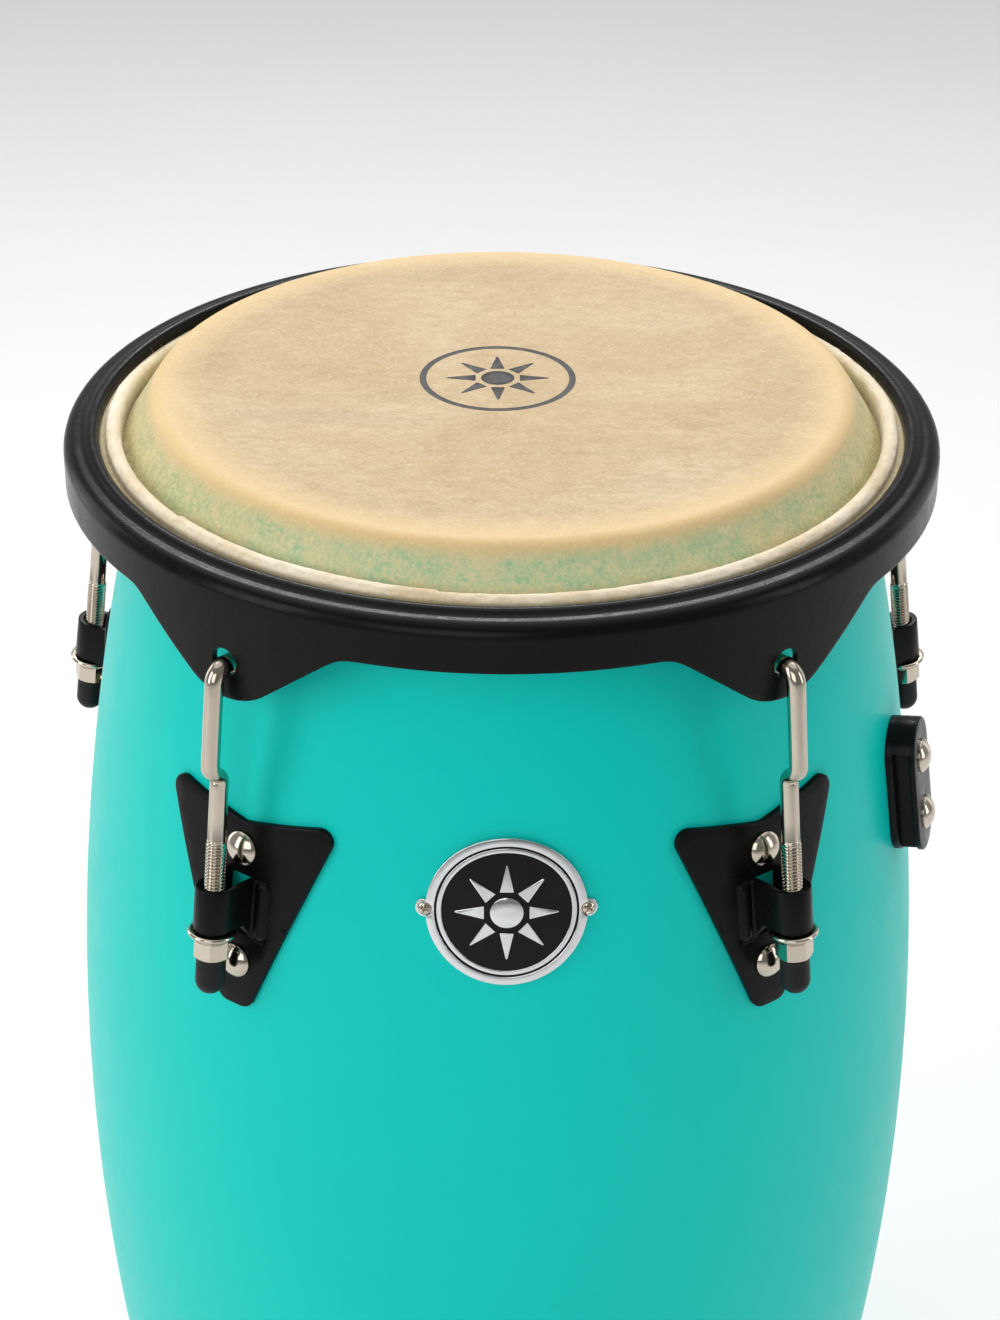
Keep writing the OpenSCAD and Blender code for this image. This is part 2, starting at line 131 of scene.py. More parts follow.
def build(name, verts, faces, body, slot, material, smooth_angle=40):
    """A mesh object from millimetre points, riding on a body."""
    mesh = bpy.data.meshes.new(name)
    mesh.from_pydata([tuple(Vector(v) * MM) for v in verts], [], faces)
    mesh.validate()
    obj = bpy.data.objects.new(name, mesh)
    bpy.context.collection.objects.link(obj)
    finish_piece(obj, body, slot, material, smooth_angle)
    return obj


def finish_piece(obj, body, slot, material, smooth_angle=40):
    """Material and shading, and the body if one is given; the slot argument is not used."""
    obj.data.materials.clear()
    obj.data.materials.append(material)
    smooth(obj, smooth_angle)
    if body:
        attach(obj, body)


def smooth(obj, angle):
    """Smooth shading, with edges sharper than angle kept sharp."""
    mesh = obj.data
    mesh.shade_smooth()
    mesh.set_sharp_from_angle(angle=math.radians(angle))


def loop_faces(rows, cols, close_rows=False, close_cols=True):
    """Quads of a grid of rows x cols points, stored row by row."""
    faces = []
    for i in range(rows if close_rows else rows - 1):
        for j in range(cols if close_cols else cols - 1):
            a, b = i * cols + j, i * cols + (j + 1) % cols
            ni = (i + 1) % rows
            faces.append((a, b, ni * cols + (j + 1) % cols, ni * cols + j))
    return faces


def tube_faces(rows, sides):
    """Faces of a tube of rows rings, with a disc at each end."""
    faces = loop_faces(rows, sides)
    faces.append(tuple(range(sides))[::-1])
    faces.append(tuple((rows - 1) * sides + i for i in range(sides)))
    return faces


def lathe_points(profile, segments, change=None):
    """Points of a profile of (r, z) turned round Z. change(r, z, azimuth) may move them."""
    verts = []
    for r, z in profile:
        for i in range(segments):
            a = 2 * math.pi * i / segments
            rr, zz = change(r, z, a) if change else (r, z)
            verts.append(Vector((rr * math.sin(a), -rr * math.cos(a), zz)))
    return verts


def lathe(profile, segments, close_profile=False, change=None):
    """Points and faces of a profile turned round Z. An open profile gets its end discs."""
    verts = lathe_points(profile, segments, change)
    if close_profile:
        return verts, loop_faces(len(profile), segments, close_rows=True)
    return verts, tube_faces(len(profile), segments)


def arc(cx, cy, r, a0, a1, n):
    """n + 1 points of an arc, with its angles in degrees."""
    steps = [math.radians(a0 + (a1 - a0) * i / n) for i in range(n + 1)]
    return [(cx + r * math.cos(t), cy + r * math.sin(t)) for t in steps]


def spline(points, per=6):
    """A smooth curve through 2-D or 3-D points (Catmull-Rom)."""
    pts = [Vector(p) for p in points]
    pts = [2 * pts[0] - pts[1]] + pts + [2 * pts[-1] - pts[-2]]
    out = []
    for i in range(1, len(pts) - 2):
        p0, p1, p2, p3 = pts[i - 1 : i + 3]
        for s in range(per):
            t = s / per
            bend = 2 * p0 - 5 * p1 + 4 * p2 - p3
            twist = 3 * p1 - p0 - 3 * p2 + p3
            out.append(0.5 * (2 * p1 + (p2 - p0) * t + bend * t * t + twist * t * t * t))
    return out + [pts[-2]]


def merge(parts):
    """Joins (verts, faces) pairs into one pair."""
    verts, faces = [], []
    for v, f in parts:
        base = len(verts)
        verts += list(v)
        faces += [tuple(i + base for i in face) for face in f]
    return verts, faces


def moved(part, matrix):
    verts, faces = part
    return [matrix @ Vector(v) for v in verts], faces


def sweep(path, sides, radius):
    """A round tube along 3-D points in the YZ plane. radius(i) gives (across, along) radii."""
    verts = []
    for i, p in enumerate(path):
        ahead = path[min(i + 1, len(path) - 1)] - path[max(i - 1, 0)]
        ahead.normalize()
        side = Vector((1, 0, 0))
        up = ahead.cross(side)
        rx, ry = radius(i)
        for j in range(sides):
            t = 2 * math.pi * j / sides
            verts.append(p + side * rx * math.cos(t) + up * ry * math.sin(t))
    return verts, [f[::-1] for f in tube_faces(len(path), sides)]


def offset_outline(points, d):
    """The closed outline moved inward by d along its normals. Anticlockwise order."""
    out = []
    n = len(points)
    for i in range(n):
        a, b, c = Vector(points[i - 1]), Vector(points[i]), Vector(points[(i + 1) % n])
        t = (c - a).normalized()
        out.append(b + Vector((-t.y, t.x)) * d)
    return out


def round_polygon(corners, per=8):
    """An anticlockwise outline from (x, y, corner radius) triples, convex or concave."""
    out = []
    n = len(corners)
    for i in range(n):
        p0, p1, p2 = (Vector(corners[j % n][:2]) for j in (i - 1, i, i + 1))
        r = corners[i][2]
        u, v = (p0 - p1).normalized(), (p2 - p1).normalized()
        half = math.acos(max(-1, min(1, u.dot(v)))) / 2
        if r <= 0 or abs(half - math.pi / 2) < 1e-3:
            out.append(p1)
            continue
        reach = r / math.tan(half)
        centre = p1 + (u + v).normalized() * (r / math.sin(half))
        a, b = p1 + u * reach - centre, p1 + v * reach - centre
        swing = a.angle_signed(b)
        for s in range(per + 1):
            out.append(centre + Matrix.Rotation(-swing * s / per, 2) @ a)
    return out


def resample(points, step):
    """The closed outline with long edges cut to at most step."""
    out = []
    n = len(points)
    for i in range(n):
        a, b = points[i], points[(i + 1) % n]
        cuts = max(1, math.ceil((b - a).length / step))
        out += [a.lerp(b, c / cuts) for c in range(cuts)]
    return out


def fill(outer, holes, step):
    """Triangles that fill an outline with holes, with inner points every step."""
    loops = [outer] + holes
    pts, edges = [], []
    for loop in loops:
        base = len(pts)
        pts += [Vector(p) for p in loop]
        edges += [(base + i, base + (i + 1) % len(loop)) for i in range(len(loop))]
    lo = Vector((min(p.x for p in outer), min(p.y for p in outer)))
    hi = Vector((max(p.x for p in outer), max(p.y for p in outer)))
    fixed = len(pts)
    x = lo.x + step / 2
    while x < hi.x:
        y = lo.y + step / 2
        while y < hi.y:
            p = Vector((x, y))
            inside = contains(outer, p) and not any(contains(h, p) for h in holes)
            near = min((p - q).length for q in pts[:fixed])
            if inside and near > 0.55 * step:
                pts.append(p)
            y += step
        x += step
    verts, _, faces, *_ = delaunay_2d_cdt(pts, edges, [], 0, 1e-6)
    kept = []
    for f in faces:
        c = sum((verts[i] for i in f), Vector((0, 0))) / len(f)
        if contains(outer, c) and not any(contains(h, c) for h in holes):
            kept.append(tuple(f))
    return verts, kept


def contains(loop, p):
    """True if p is inside the closed outline."""
    inside = False
    n = len(loop)
    for i in range(n):
        a, b = loop[i], loop[(i + 1) % n]
        if (a.y > p.y) != (b.y > p.y):
            if p.x < (b.x - a.x) * (p.y - a.y) / (b.y - a.y) + a.x:
                inside = not inside
    return inside


def slab(outer, holes, z0, z1, edge, place, step=4.0, ring=3, back=0.0):
    """A flat piece with rounded upper edges: place(x, y, z) puts each point in the frame.
    outer and holes are anticlockwise outlines. back is the radius of its lower edges."""
    verts, faces = [], []
    turn = [math.pi / 2 * i / ring for i in range(ring + 1)]
    lower = [(back * (1 - math.cos(t)), z0 + back * (1 - math.sin(t))) for t in reversed(turn)]
    levels = lower if back else [(0.0, z0)]
    levels += [(edge * (1 - math.cos(t)), z1 - edge + edge * math.sin(t)) for t in turn]
    for index, loop in enumerate([outer] + holes):
        sign = 1 if index == 0 else -1
        base = len(verts)
        for inset, z in levels:
            for p in offset_outline(loop, inset * sign):
                verts.append(place(p.x, p.y, z))
        wall = loop_faces(len(levels), len(loop))
        if index:
            wall = [f[::-1] for f in wall]
        faces += [tuple(i + base for i in f) for f in wall]
    for z, inset, flip in ((z1, edge, False), (z0, back, True)):
        inner = [offset_outline(h, -inset) for h in holes]
        pts, tris = fill(offset_outline(outer, inset), inner, step)
        base = len(verts)
        verts += [place(p.x, p.y, z) for p in pts]
        faces += [tuple(i + base for i in (f[::-1] if flip else f)) for f in tris]
    return weld(verts, faces)


def weld(verts, faces, tolerance=1e-4):
    """Merges points that lie on each other."""
    seen, new, remap = {}, [], []
    for v in verts:
        key = tuple(round(c / tolerance) for c in v)
        if key not in seen:
            seen[key] = len(new)
            new.append(v)
        remap.append(seen[key])
    out = []
    for f in faces:
        g = [remap[i] for i in f]
        g = [a for i, a in enumerate(g) if a != g[i - 1]]
        if len(set(g)) == len(g) and len(g) > 2:
            out.append(tuple(g))
    return new, out


def ball_noise(p, scale, seed=0.0):
    """Smooth noise from -1 to 1 at a point in millimetres."""
    return noise.noise(Vector(p) / scale + Vector((seed, seed * 1.7, -seed)))


# ---- Material helpers ---------------------------------------------------------------------
class Graph:
    """A material under construction: short calls for the nodes that the recipes share."""

    def __init__(self, name):
        self.material = bpy.data.materials.new(name)
        self.material.use_nodes = True
        self.tree = self.material.node_tree
        self.tree.nodes.clear()
        self.shader = self.node("ShaderNodeBsdfPrincipled")
        out = self.node("ShaderNodeOutputMaterial")
        self.link(self.shader.outputs[0], out.inputs["Surface"])
        self.coords = self.node("ShaderNodeTexCoord").outputs["Object"]

    def node(self, kind, **settings):
        made = self.tree.nodes.new(kind)
        for key, value in settings.items():
            setattr(made, key, value)
        return made

    def link(self, a, b):
        self.tree.links.new(a, b)

    def set(self, **inputs):
        for key, value in inputs.items():
            self.shader.inputs[key.replace("_", " ")].default_value = value

    def feed(self, socket, output):
        self.link(output, self.shader.inputs[socket])

    def stretched(self, scale):
        m = self.node("ShaderNodeMapping")
        m.inputs["Scale"].default_value = scale
        self.link(self.coords, m.inputs["Vector"])
        return m.outputs[0]

    def noise(self, scale, detail=4.0, rough=0.55, at=None, distort=0.0):
        n = self.node("ShaderNodeTexNoise")
        n.inputs["Scale"].default_value = scale
        n.inputs["Detail"].default_value = detail
        n.inputs["Roughness"].default_value = rough
        n.inputs["Distortion"].default_value = distort
        self.link(at or self.coords, n.inputs["Vector"])
        return n.outputs["Fac"]

    def cells(self, scale):
        n = self.node("ShaderNodeTexVoronoi")
        n.inputs["Scale"].default_value = scale
        self.link(self.coords, n.inputs["Vector"])
        return n.outputs["Distance"]

    def ramp(self, fac, stops):
        """Colours or greys by position. stops is a list of (position, colour or value)."""
        r = self.node("ShaderNodeValToRGB")
        ramp = r.color_ramp
        while len(ramp.elements) > 1:
            ramp.elements.remove(ramp.elements[-1])
        for i, (pos, value) in enumerate(stops):
            e = ramp.elements[0] if i == 0 else ramp.elements.new(pos)
            e.position = pos
            e.color = (value, value, value, 1) if isinstance(value, float) else (*value, 1)
        self.link(fac, r.inputs[0])
        return r.outputs[0]

    def mix(self, fac, a, b):
        m = self.node("ShaderNodeMix", data_type="RGBA")
        for socket, value in ((m.inputs[0], fac), (m.inputs[6], a), (m.inputs[7], b)):
            self.put(socket, value)
        return m.outputs[2]

    def put(self, socket, value):
        """Links an output to the socket, or sets the socket to a colour or number."""
        if hasattr(value, "is_linked"):
            self.link(value, socket)
        elif isinstance(value, tuple) and len(value) == 3:
            socket.default_value = (*value, 1)
        else:
            socket.default_value = value

    def math(self, op, a, b=0.0):
        m = self.node("ShaderNodeMath", operation=op)
        self.put(m.inputs[0], a)
        self.put(m.inputs[1], b)
        return m.outputs[0]

    def range(self, value, lo, hi, to_lo=0.0, to_hi=1.0):
        m = self.node("ShaderNodeMapRange")
        for socket, v in zip(m.inputs, (value, lo, hi, to_lo, to_hi)):
            self.put(socket, v)
        return m.outputs[0]

    def axes(self):
        s = self.node("ShaderNodeSeparateXYZ")
        self.link(self.coords, s.inputs[0])
        return s.outputs

    def radius(self):
        """Distance from the drum's axis."""
        x, y, _ = self.axes()
        squares = self.math("ADD", self.math("MULTIPLY", x, x), self.math("MULTIPLY", y, y))
        return self.math("SQRT", squares)

    def bump(self, height, strength, distance, over=None):
        b = self.node("ShaderNodeBump")
        b.inputs["Strength"].default_value = strength
        b.inputs["Distance"].default_value = distance
        self.link(height, b.inputs["Height"])
        if over:
            self.link(over, b.inputs["Normal"])
        self.link(b.outputs[0], self.shader.inputs["Normal"])
        return b.outputs[0]


def powder_coat(name, base, rough, grain=2600.0, depth=0.25):
    """Black powder coat: a fine pebble, faint dust and a little unevenness of sheen."""
    g = Graph(name)
    g.set(IOR=1.5, Specular_IOR_Level=0.12)
    soft = g.noise(38.0, 3.0)
    dust = g.ramp(g.noise(2100.0, 2.0, 0.8), [(0.74, 0.0), (0.84, 1.0)])
    coat = g.mix(soft, base, tuple(c * 1.7 for c in base))
    g.feed("Base Color", g.mix(g.math("MULTIPLY", dust, 0.35), coat, (0.16, 0.15, 0.14)))
    g.feed("Roughness", g.range(g.noise(120.0, 5.0), 0.3, 0.7, rough - 0.05, rough + 0.06))
    pebble = g.bump(g.noise(grain, 2.0, 0.6), depth, 0.00006)
    g.bump(g.noise(210.0, 2.0), 0.12, 0.0003, over=pebble)
    return g.material


def plated(name, base, rough, wear=0.08):
    """Bright plated steel: soft polishing waves, fine scratches, a breath of haze and painted shade in its
    hollows.
    """
    g = Graph(name)
    g.set(Metallic=1.0)
    haze = g.noise(170.0, 5.0, 0.65)
    darker = tuple(c * 0.82 for c in base)
    # Painted shade: concave spots, such as thread roots and inner corners, are painted near black in place
    # of the shade that falls there.
    painted_hollow_shade = g.range(g.node("ShaderNodeNewGeometry").outputs["Pointiness"], 0.40, 0.49)
    g.feed("Base Color", g.mix(painted_hollow_shade, tuple(c * 0.16 for c in base), g.mix(haze, darker, base)))
    scratches = g.noise(900.0, 3.0, 0.7, at=g.stretched((1.0, 1.0, 0.06)))
    uneven = g.math("ADD", haze, g.math("MULTIPLY", scratches, 0.5))
    g.feed("Roughness", g.range(uneven, 0.45, 1.05, rough, rough + wear))
    wave = g.bump(g.noise(260.0, 2.0), 0.10, 0.0004)
    g.bump(scratches, 0.06, 0.00005, over=wave)
    return g.material


def dull_zinc():
    """Dull zinc plate with a faint spangle."""
    g = Graph("zinc_plate")
    g.set(Metallic=1.0)
    spangle = g.cells(420.0)
    g.feed("Base Color", g.mix(spangle, (0.46, 0.46, 0.44), (0.64, 0.64, 0.60)))
    g.feed("Roughness", g.range(g.noise(300.0, 4.0), 0.3, 0.7, 0.32, 0.52))
    g.bump(g.noise(800.0, 3.0), 0.2, 0.0001)
    return g.material


def moulded_rubber():
    """Matt black rubber."""
    g = Graph("moulded_rubber")
    g.set(IOR=1.5, Specular_IOR_Level=0.22)
    g.feed("Base Color", g.mix(g.noise(300.0, 4.0), (0.005, 0.005, 0.006), (0.013, 0.013, 0.014)))
    g.feed("Roughness", g.range(g.noise(90.0, 4.0), 0.3, 0.7, 0.42, 0.58))
    g.bump(g.noise(1800.0, 3.0, 0.7), 0.3, 0.00008)
    return g.material


def shell_lacquer():
    """Satin seafoam lacquer over wood: faint orange peel and a few dust nibs."""
    g = Graph("seafoam_lacquer")
    g.set(IOR=1.5, Specular_IOR_Level=0.12, Coat_Weight=0.06, Coat_Roughness=0.28)
    drift = g.noise(7.0, 3.0)
    g.feed("Base Color", g.mix(drift, (0.0, 0.585, 0.520), (0.0, 0.640, 0.570)))
    g.feed("Roughness", g.range(g.noise(60.0, 5.0), 0.3, 0.7, 0.36, 0.44))
    grain = g.noise(26.0, 3.0, 0.6, at=g.stretched((7.0, 7.0, 0.5)))
    faint = g.bump(grain, 0.05, 0.0003)
    peel = g.bump(g.noise(420.0, 2.0), 0.10, 0.0001, over=faint)
    nibs = g.ramp(g.cells(95.0), [(0.0, 1.0), (0.035, 0.0)])
    g.bump(nibs, 0.10, 0.0001, over=peel)
    return g.material


STAVES = 24


def bare_wood(name, light, dark):
    """Straight-grained wood that runs up the drum, in staves."""
    g = Graph(name)
    g.set(IOR=1.45)
    grain = g.noise(60.0, 6.0, 0.65, at=g.stretched((6.0, 6.0, 0.35)), distort=0.4)
    pores = g.noise(700.0, 3.0, 0.7, at=g.stretched((1.0, 1.0, 0.03)))
    x, y, _ = g.axes()
    turn = g.math("MULTIPLY", g.math("ARCTAN2", x, y), STAVES / (2 * math.pi))
    seam = g.ramp(g.math("PINGPONG", turn, 0.5), [(0.0, 0.0), (0.02, 1.0)])
    wood = g.mix(g.math("MULTIPLY", pores, 0.35), g.ramp(grain, [(0.28, dark), (0.72, light)]), dark)
    g.feed("Base Color", g.mix(seam, tuple(c * 0.35 for c in dark), wood))
    g.feed("Roughness", g.range(pores, 0.3, 0.7, 0.55, 0.72))
    g.bump(g.math("ADD", pores, g.math("MULTIPLY", seam, 0.6)), 0.3, 0.0003)
    return g.material


def rawhide_skin():
    """Dry rawhide: tan and fibrous on top, amber where it turns over the edge, and
    thin enough on the collar for the shell's colour to come through; the collar is painted
    green on its lit front and a darker olive, as painted shade, on its sides and back."""
    g = Graph("rawhide_skin")
    g.set(IOR=1.5, Sheen_Weight=0.12, Sheen_Roughness=0.5)
    x, y, z = g.axes()
    r = g.radius()
    cloud = g.noise(11.0, 5.0, 0.6, distort=0.8)
    fibre = g.noise(150.0, 6.0, 0.75, at=g.stretched((1.0, 1.8, 1.0)), distort=0.6)
    speck = g.noise(560.0, 4.0, 0.8)
    streaks = g.noise(9.0, 5.0, 0.62, at=g.stretched((0.8, 3.2, 1.0)), distort=1.2)
    tans = [(0.28, (0.47, 0.31, 0.135)), (0.5, (0.57, 0.41, 0.205)), (0.72, (0.64, 0.49, 0.28))]
    field = g.ramp(cloud, tans)
    field = g.mix(g.range(streaks, 0.52, 0.72, 0.0, 0.45), field, (0.35, 0.225, 0.09))
    mottled = g.mix(g.range(fibre, 0.38, 0.66, 0.0, 0.55), field, (0.40, 0.265, 0.117))
    mottled = g.mix(g.range(speck, 0.5, 0.68, 0.0, 0.5), mottled, (0.72, 0.60, 0.40))
    crown = g.range(g.math("ADD", r, g.math("MULTIPLY", cloud, 0.006)), 0.1200, 0.1400)
    amber = g.mix(g.range(speck, 0.4, 0.7, 0.0, 0.4), (0.74, 0.53, 0.24), (0.86, 0.69, 0.40))
    colour = g.mix(crown, mottled, amber)
    depth = g.range(g.math("ADD", r, g.math("MULTIPLY", cloud, 0.002)), 0.1395, 0.1425)
    patch = g.noise(70.0, 8.0, 0.78)
    # Painted light and shade: the see-through collar is painted green on the front, where the lamps fall,
    # and a darker olive on the sides and back.
    front_lit_share = g.range(y, -0.150, -0.02, 0.0, 1.0)
    lit_collar_green = g.mix(g.range(patch, 0.42, 0.60), (0.34, 0.57, 0.33), (0.68, 0.62, 0.33))
    shaded_collar_olive = g.mix(g.range(patch, 0.38, 0.62), (0.42, 0.38, 0.13), (0.62, 0.50, 0.22))
    through = g.mix(front_lit_share, lit_collar_green, shaded_collar_olive)
    through = g.mix(g.range(speck, 0.42, 0.62, 0.0, 0.6), through, (0.72, 0.66, 0.38))
    g.feed("Base Color", g.mix(depth, colour, through))
    g.feed("Roughness", g.range(fibre, 0.3, 0.7, 0.50, 0.66))
    low = g.bump(fibre, 0.22, 0.0004)
    g.bump(speck, 0.35, 0.00015, over=low)
    return g.material


def raw_edge():
    """The cut and rolled edge of the hide: cream and chalky on its crest, tan down its sides."""
    g = Graph("rawhide_edge")
    g.set(IOR=1.45, Sheen_Weight=0.3, Sheen_Roughness=0.6)
    cloud = g.noise(28.0, 5.0, 0.6)
    fuzz = g.noise(480.0, 5.0, 0.8)
    creams = [(0.25, (0.60, 0.44, 0.22)), (0.45, (0.78, 0.64, 0.42)), (0.65, (0.90, 0.81, 0.63))]
    base = g.ramp(cloud, creams)
    side = g.mix(fuzz, (0.40, 0.30, 0.12), (0.66, 0.54, 0.30))
    height = g.math("ADD", g.axes()[2], g.math("MULTIPLY", cloud, 0.004))
    crest = (NUT_Z + RAW_EDGE_H) * MM
    base = g.mix(g.range(height, crest - 0.0018, crest + 0.0008), side, base)
    g.feed("Base Color", g.mix(g.range(fuzz, 0.45, 0.7, 0.0, 0.35), base, (0.95, 0.90, 0.79)))
    g.feed("Roughness", g.range(fuzz, 0.3, 0.7, 0.72, 0.9))
    rough = g.bump(g.noise(140.0, 4.0, 0.7), 0.4, 0.0006)
    g.bump(fuzz, 0.6, 0.0003, over=rough)
    return g.material


def printed_ink():
    """Black ink, worn thin where the hide is rough."""
    g = Graph("printed_ink")
    g.set(IOR=1.45)
    worn = g.ramp(g.noise(900.0, 4.0, 0.8), [(0.62, 0.0), (0.74, 1.0)])
    g.feed("Base Color", g.mix(g.math("MULTIPLY", worn, 0.35), (0.016, 0.014, 0.013), (0.30, 0.22, 0.12)))
    g.feed("Roughness", g.range(g.noise(500.0, 4.0), 0.3, 0.7, 0.45, 0.62))
    g.bump(g.noise(620.0, 4.0, 0.8), 0.3, 0.0001)
    return g.material


def enamel():
    """Black fired enamel."""
    g = Graph("black_enamel")
    g.set(IOR=1.5, Specular_IOR_Level=0.12)
    g.feed("Base Color", g.mix(g.noise(80.0, 3.0), (0.006, 0.006, 0.008), (0.012, 0.012, 0.015)))
    g.feed("Roughness", g.range(g.noise(200.0, 4.0), 0.3, 0.7, 0.16, 0.24))
    g.bump(g.noise(330.0, 2.0), 0.05, 0.0001)
    return g.material


def floor_finish():
    """A plain pale floor."""
    g = Graph("pale_floor")
    g.set(IOR=1.4)
    g.feed("Base Color", g.mix(g.noise(3.0, 3.0), (0.84, 0.84, 0.84), (0.87, 0.87, 0.87)))
    g.feed("Roughness", g.range(g.noise(8.0, 3.0), 0.3, 0.7, 0.7, 0.8))
    return g.material


LACQUER = shell_lacquer()
WOOD = bare_wood("bare_wood", (0.60, 0.43, 0.24), (0.38, 0.24, 0.12))
RING_WOOD = bare_wood("ring_wood", (0.66, 0.50, 0.30), (0.44, 0.29, 0.15))
RIM_COAT = powder_coat("rim_powder_coat", (0.0026, 0.0030, 0.0024), 0.26)
PLATE_COAT = powder_coat("plate_powder_coat", (0.0024, 0.0027, 0.0025), 0.30)
BRACKET_COAT = powder_coat("bracket_coat", (0.0045, 0.0045, 0.0050), 0.28, 1500.0, 0.12)
NICKEL = plated("nickel_plate", (0.63, 0.56, 0.465), 0.10)
CHROME = plated("badge_chrome", (0.78, 0.79, 0.80), 0.09)
ZINC = dull_zinc()
RUBBER = moulded_rubber()
SKIN = rawhide_skin()
HIDE_EDGE = raw_edge()
INK = printed_ink()
ENAMEL = enamel()


# ---- Shell --------------------------------------------------------------------------------
def shell_profiles():
    """Outer and inner profiles, which meet on the bearing edge and at the base."""
    top = HEAD_TOP - SKIN_T
    edge_z = top - BEARING_R
    edge_x = wall_r(edge_z) - BEARING_R
    heights = [4 + (edge_z - 4) * i / 90 for i in range(91)]
    outer = [(wall_r(z), z) for z in heights]
    crest = arc(edge_x, edge_z, BEARING_R, 0, 90, 8)[1:]
    inner_top = (wall_r(top, -SHELL_T), top)
    inner = [inner_top] + [(wall_r(z, -SHELL_T), z) for z in reversed(heights)]
    return outer + crest, inner


def make_shell():
    outer, inner = shell_profiles()
    segments = 256
    verts, faces = lathe(outer + inner, segments, close_profile=True)
    obj = build("stave_shell", verts, faces, SHELL, "shell_paint", LACQUER)
    obj.data.materials.append(WOOD)
    first_inner = (len(outer)) * segments
    for poly in obj.data.polygons:
        poly.material_index = 1 if min(poly.vertices) >= first_inner else 0
    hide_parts("shell")


# ---- Counterhoop --------------------------------------------------------------------------
SKIRT_H = 127.3
ROLL_H = 140.9
ROLL_R = 5.5
EAR_DROP = 29.1
EAR_TIP_R = 27.8
EAR_SLOPE = math.radians(37.4)
EAR_HOLE_R = 5.4
EAR_HOLE_Z = NUT_Z + 113.6


def ear_depth(az):
    """How far the skirt hangs below its plain edge at an azimuth."""
    nearest = min(abs((az - a + math.pi) % (2 * math.pi) - math.pi) for a in LUG_AZIMUTHS.values())
    if nearest > math.radians(30):
        return 0.0
    x = RIM_R * math.sin(nearest)
    centre = EAR_TIP_R - EAR_DROP
    touch_x = EAR_TIP_R * math.sin(EAR_SLOPE)
    if x < touch_x:
        return math.sqrt(EAR_TIP_R**2 - x * x) - centre
    touch = EAR_TIP_R * math.cos(EAR_SLOPE) - centre
    line = touch - (x - touch_x) * math.tan(EAR_SLOPE)
    blend = 1.5
    return blend * math.log(1 + math.exp(line / blend))


def rim_profile():
    """The hoop's section from the skirt's outer foot, over the roll and the inner lip,
    to its inner foot. Heights are relative to the nut's seat."""
    roll_x = RIM_R - ROLL_R
    over = [(RIM_R, ROLL_H)] + arc(roll_x, ROLL_H, ROLL_R, 0, 88, 12)[1:]
    rise = spline(
        [(168.3, 146.4), (166.7, 146.55), (165.3, 147.15), (164.0, 147.95), (162.6, 148.3),
         (161.2, 148.0), (160.1, 146.9), (159.6, 145.3), (159.6, 143.6), (160.2, 142.5),
         (161.2, 142.3), (162.3, 142.8), (163.4, 144.0), (165.6, 144.3), (168.3, 143.4)], 4)
    under = arc(roll_x, ROLL_H, ROLL_R - RIM_T, 90, 0, 8)
    return over + [tuple(p) for p in rise[1:]] + under[1:]


def make_counterhoop():
    foot = 1.0
    rows = 16
    straight = ROLL_H - SKIRT_H - foot
    outer_foot = arc(RIM_R - foot, foot, foot, -90, 0, 4)
    inner_foot = arc(RIM_R - RIM_T + foot, foot, foot, 180, 270, 4)
    shares = [i / rows for i in range(1, rows)]
    # Each point is (radius, height above the nut's seat, share of the ear's depth).
    section = [(r, SKIRT_H + h, 1.0) for r, h in outer_foot]
    section += [(RIM_R, SKIRT_H + foot + straight * t, 1 - t) for t in shares]
    section += [(r, h, 0.0) for r, h in rim_profile()]
    section += [(RIM_R - RIM_T, SKIRT_H + foot + straight * t, 1 - t) for t in shares[::-1]]
    section += [(r, SKIRT_H + h, 1.0) for r, h in inner_foot]
    segments = 900
    verts = []
    for r, h, share in section:
        for i in range(segments):
            a = 2 * math.pi * i / segments
            z = NUT_Z + h - share * ear_depth(a)
            verts.append(Vector((r * math.sin(a), -r * math.cos(a), z)))
    faces = loop_faces(len(section), segments, close_rows=True)
    obj = build("counterhoop", verts, faces, None, "rim_coat", RIM_COAT)
    bore_ears(obj)
    smooth(obj, 35)
    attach(obj, HOOP)
    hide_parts("rim")


def bore_ears(hoop):
    """Cuts each ear's hole, with rounded mouths, out of the hoop."""
    fillet = 0.5
    mid = RIM_R - RIM_T / 2
    half = RIM_T / 2
    # The cutter's radius against its distance from the skirt's middle.
    flare = arc(half - fillet, EAR_HOLE_R + fillet, fillet, -90, 0, 4)
    side = [(EAR_HOLE_R + fillet + 2, half + 2)] + [(y, x) for x, y in reversed(flare)]
    profile = [(r, -d) for r, d in side] + [(r, d) for r, d in reversed(side)]
    outward = Matrix.Translation((0, -mid, EAR_HOLE_Z)) @ Matrix.Rotation(math.pi / 2, 4, "X")
    parts = [moved(lathe(profile, 40), turned(az) @ outward) for az in LUG_AZIMUTHS.values()]
    cutter = build("ear_cutter", *merge(parts), None, "rim_coat", RIM_COAT)
    cut = hoop.modifiers.new("ears", "BOOLEAN")
    cut.operation, cut.solver, cut.object = "DIFFERENCE", "EXACT", cutter
    apply_modifiers(hoop)
    bpy.data.objects.remove(cutter)


def apply_modifiers(obj):
    """Replaces the mesh by its evaluated copy."""
    bpy.context.view_layer.update()
    dg = bpy.context.evaluated_depsgraph_get()
    mesh = bpy.data.meshes.new_from_object(obj.evaluated_get(dg))
    obj.modifiers.clear()
    obj.data = mesh


# ---- Head ---------------------------------------------------------------------------------
HOOP_R = 156.3
HOOP_Z = NUT_Z + 139.3
FLESH_ROD_R = 4.0
CROWN_R = BEARING_R + SKIN_T
EDGE_Z = HEAD_TOP - CROWN_R
EDGE_X = wall_r(EDGE_Z) - BEARING_R
SLOPE_CUTS = 16
FOLD_TOP = NUT_Z + RAW_EDGE_H


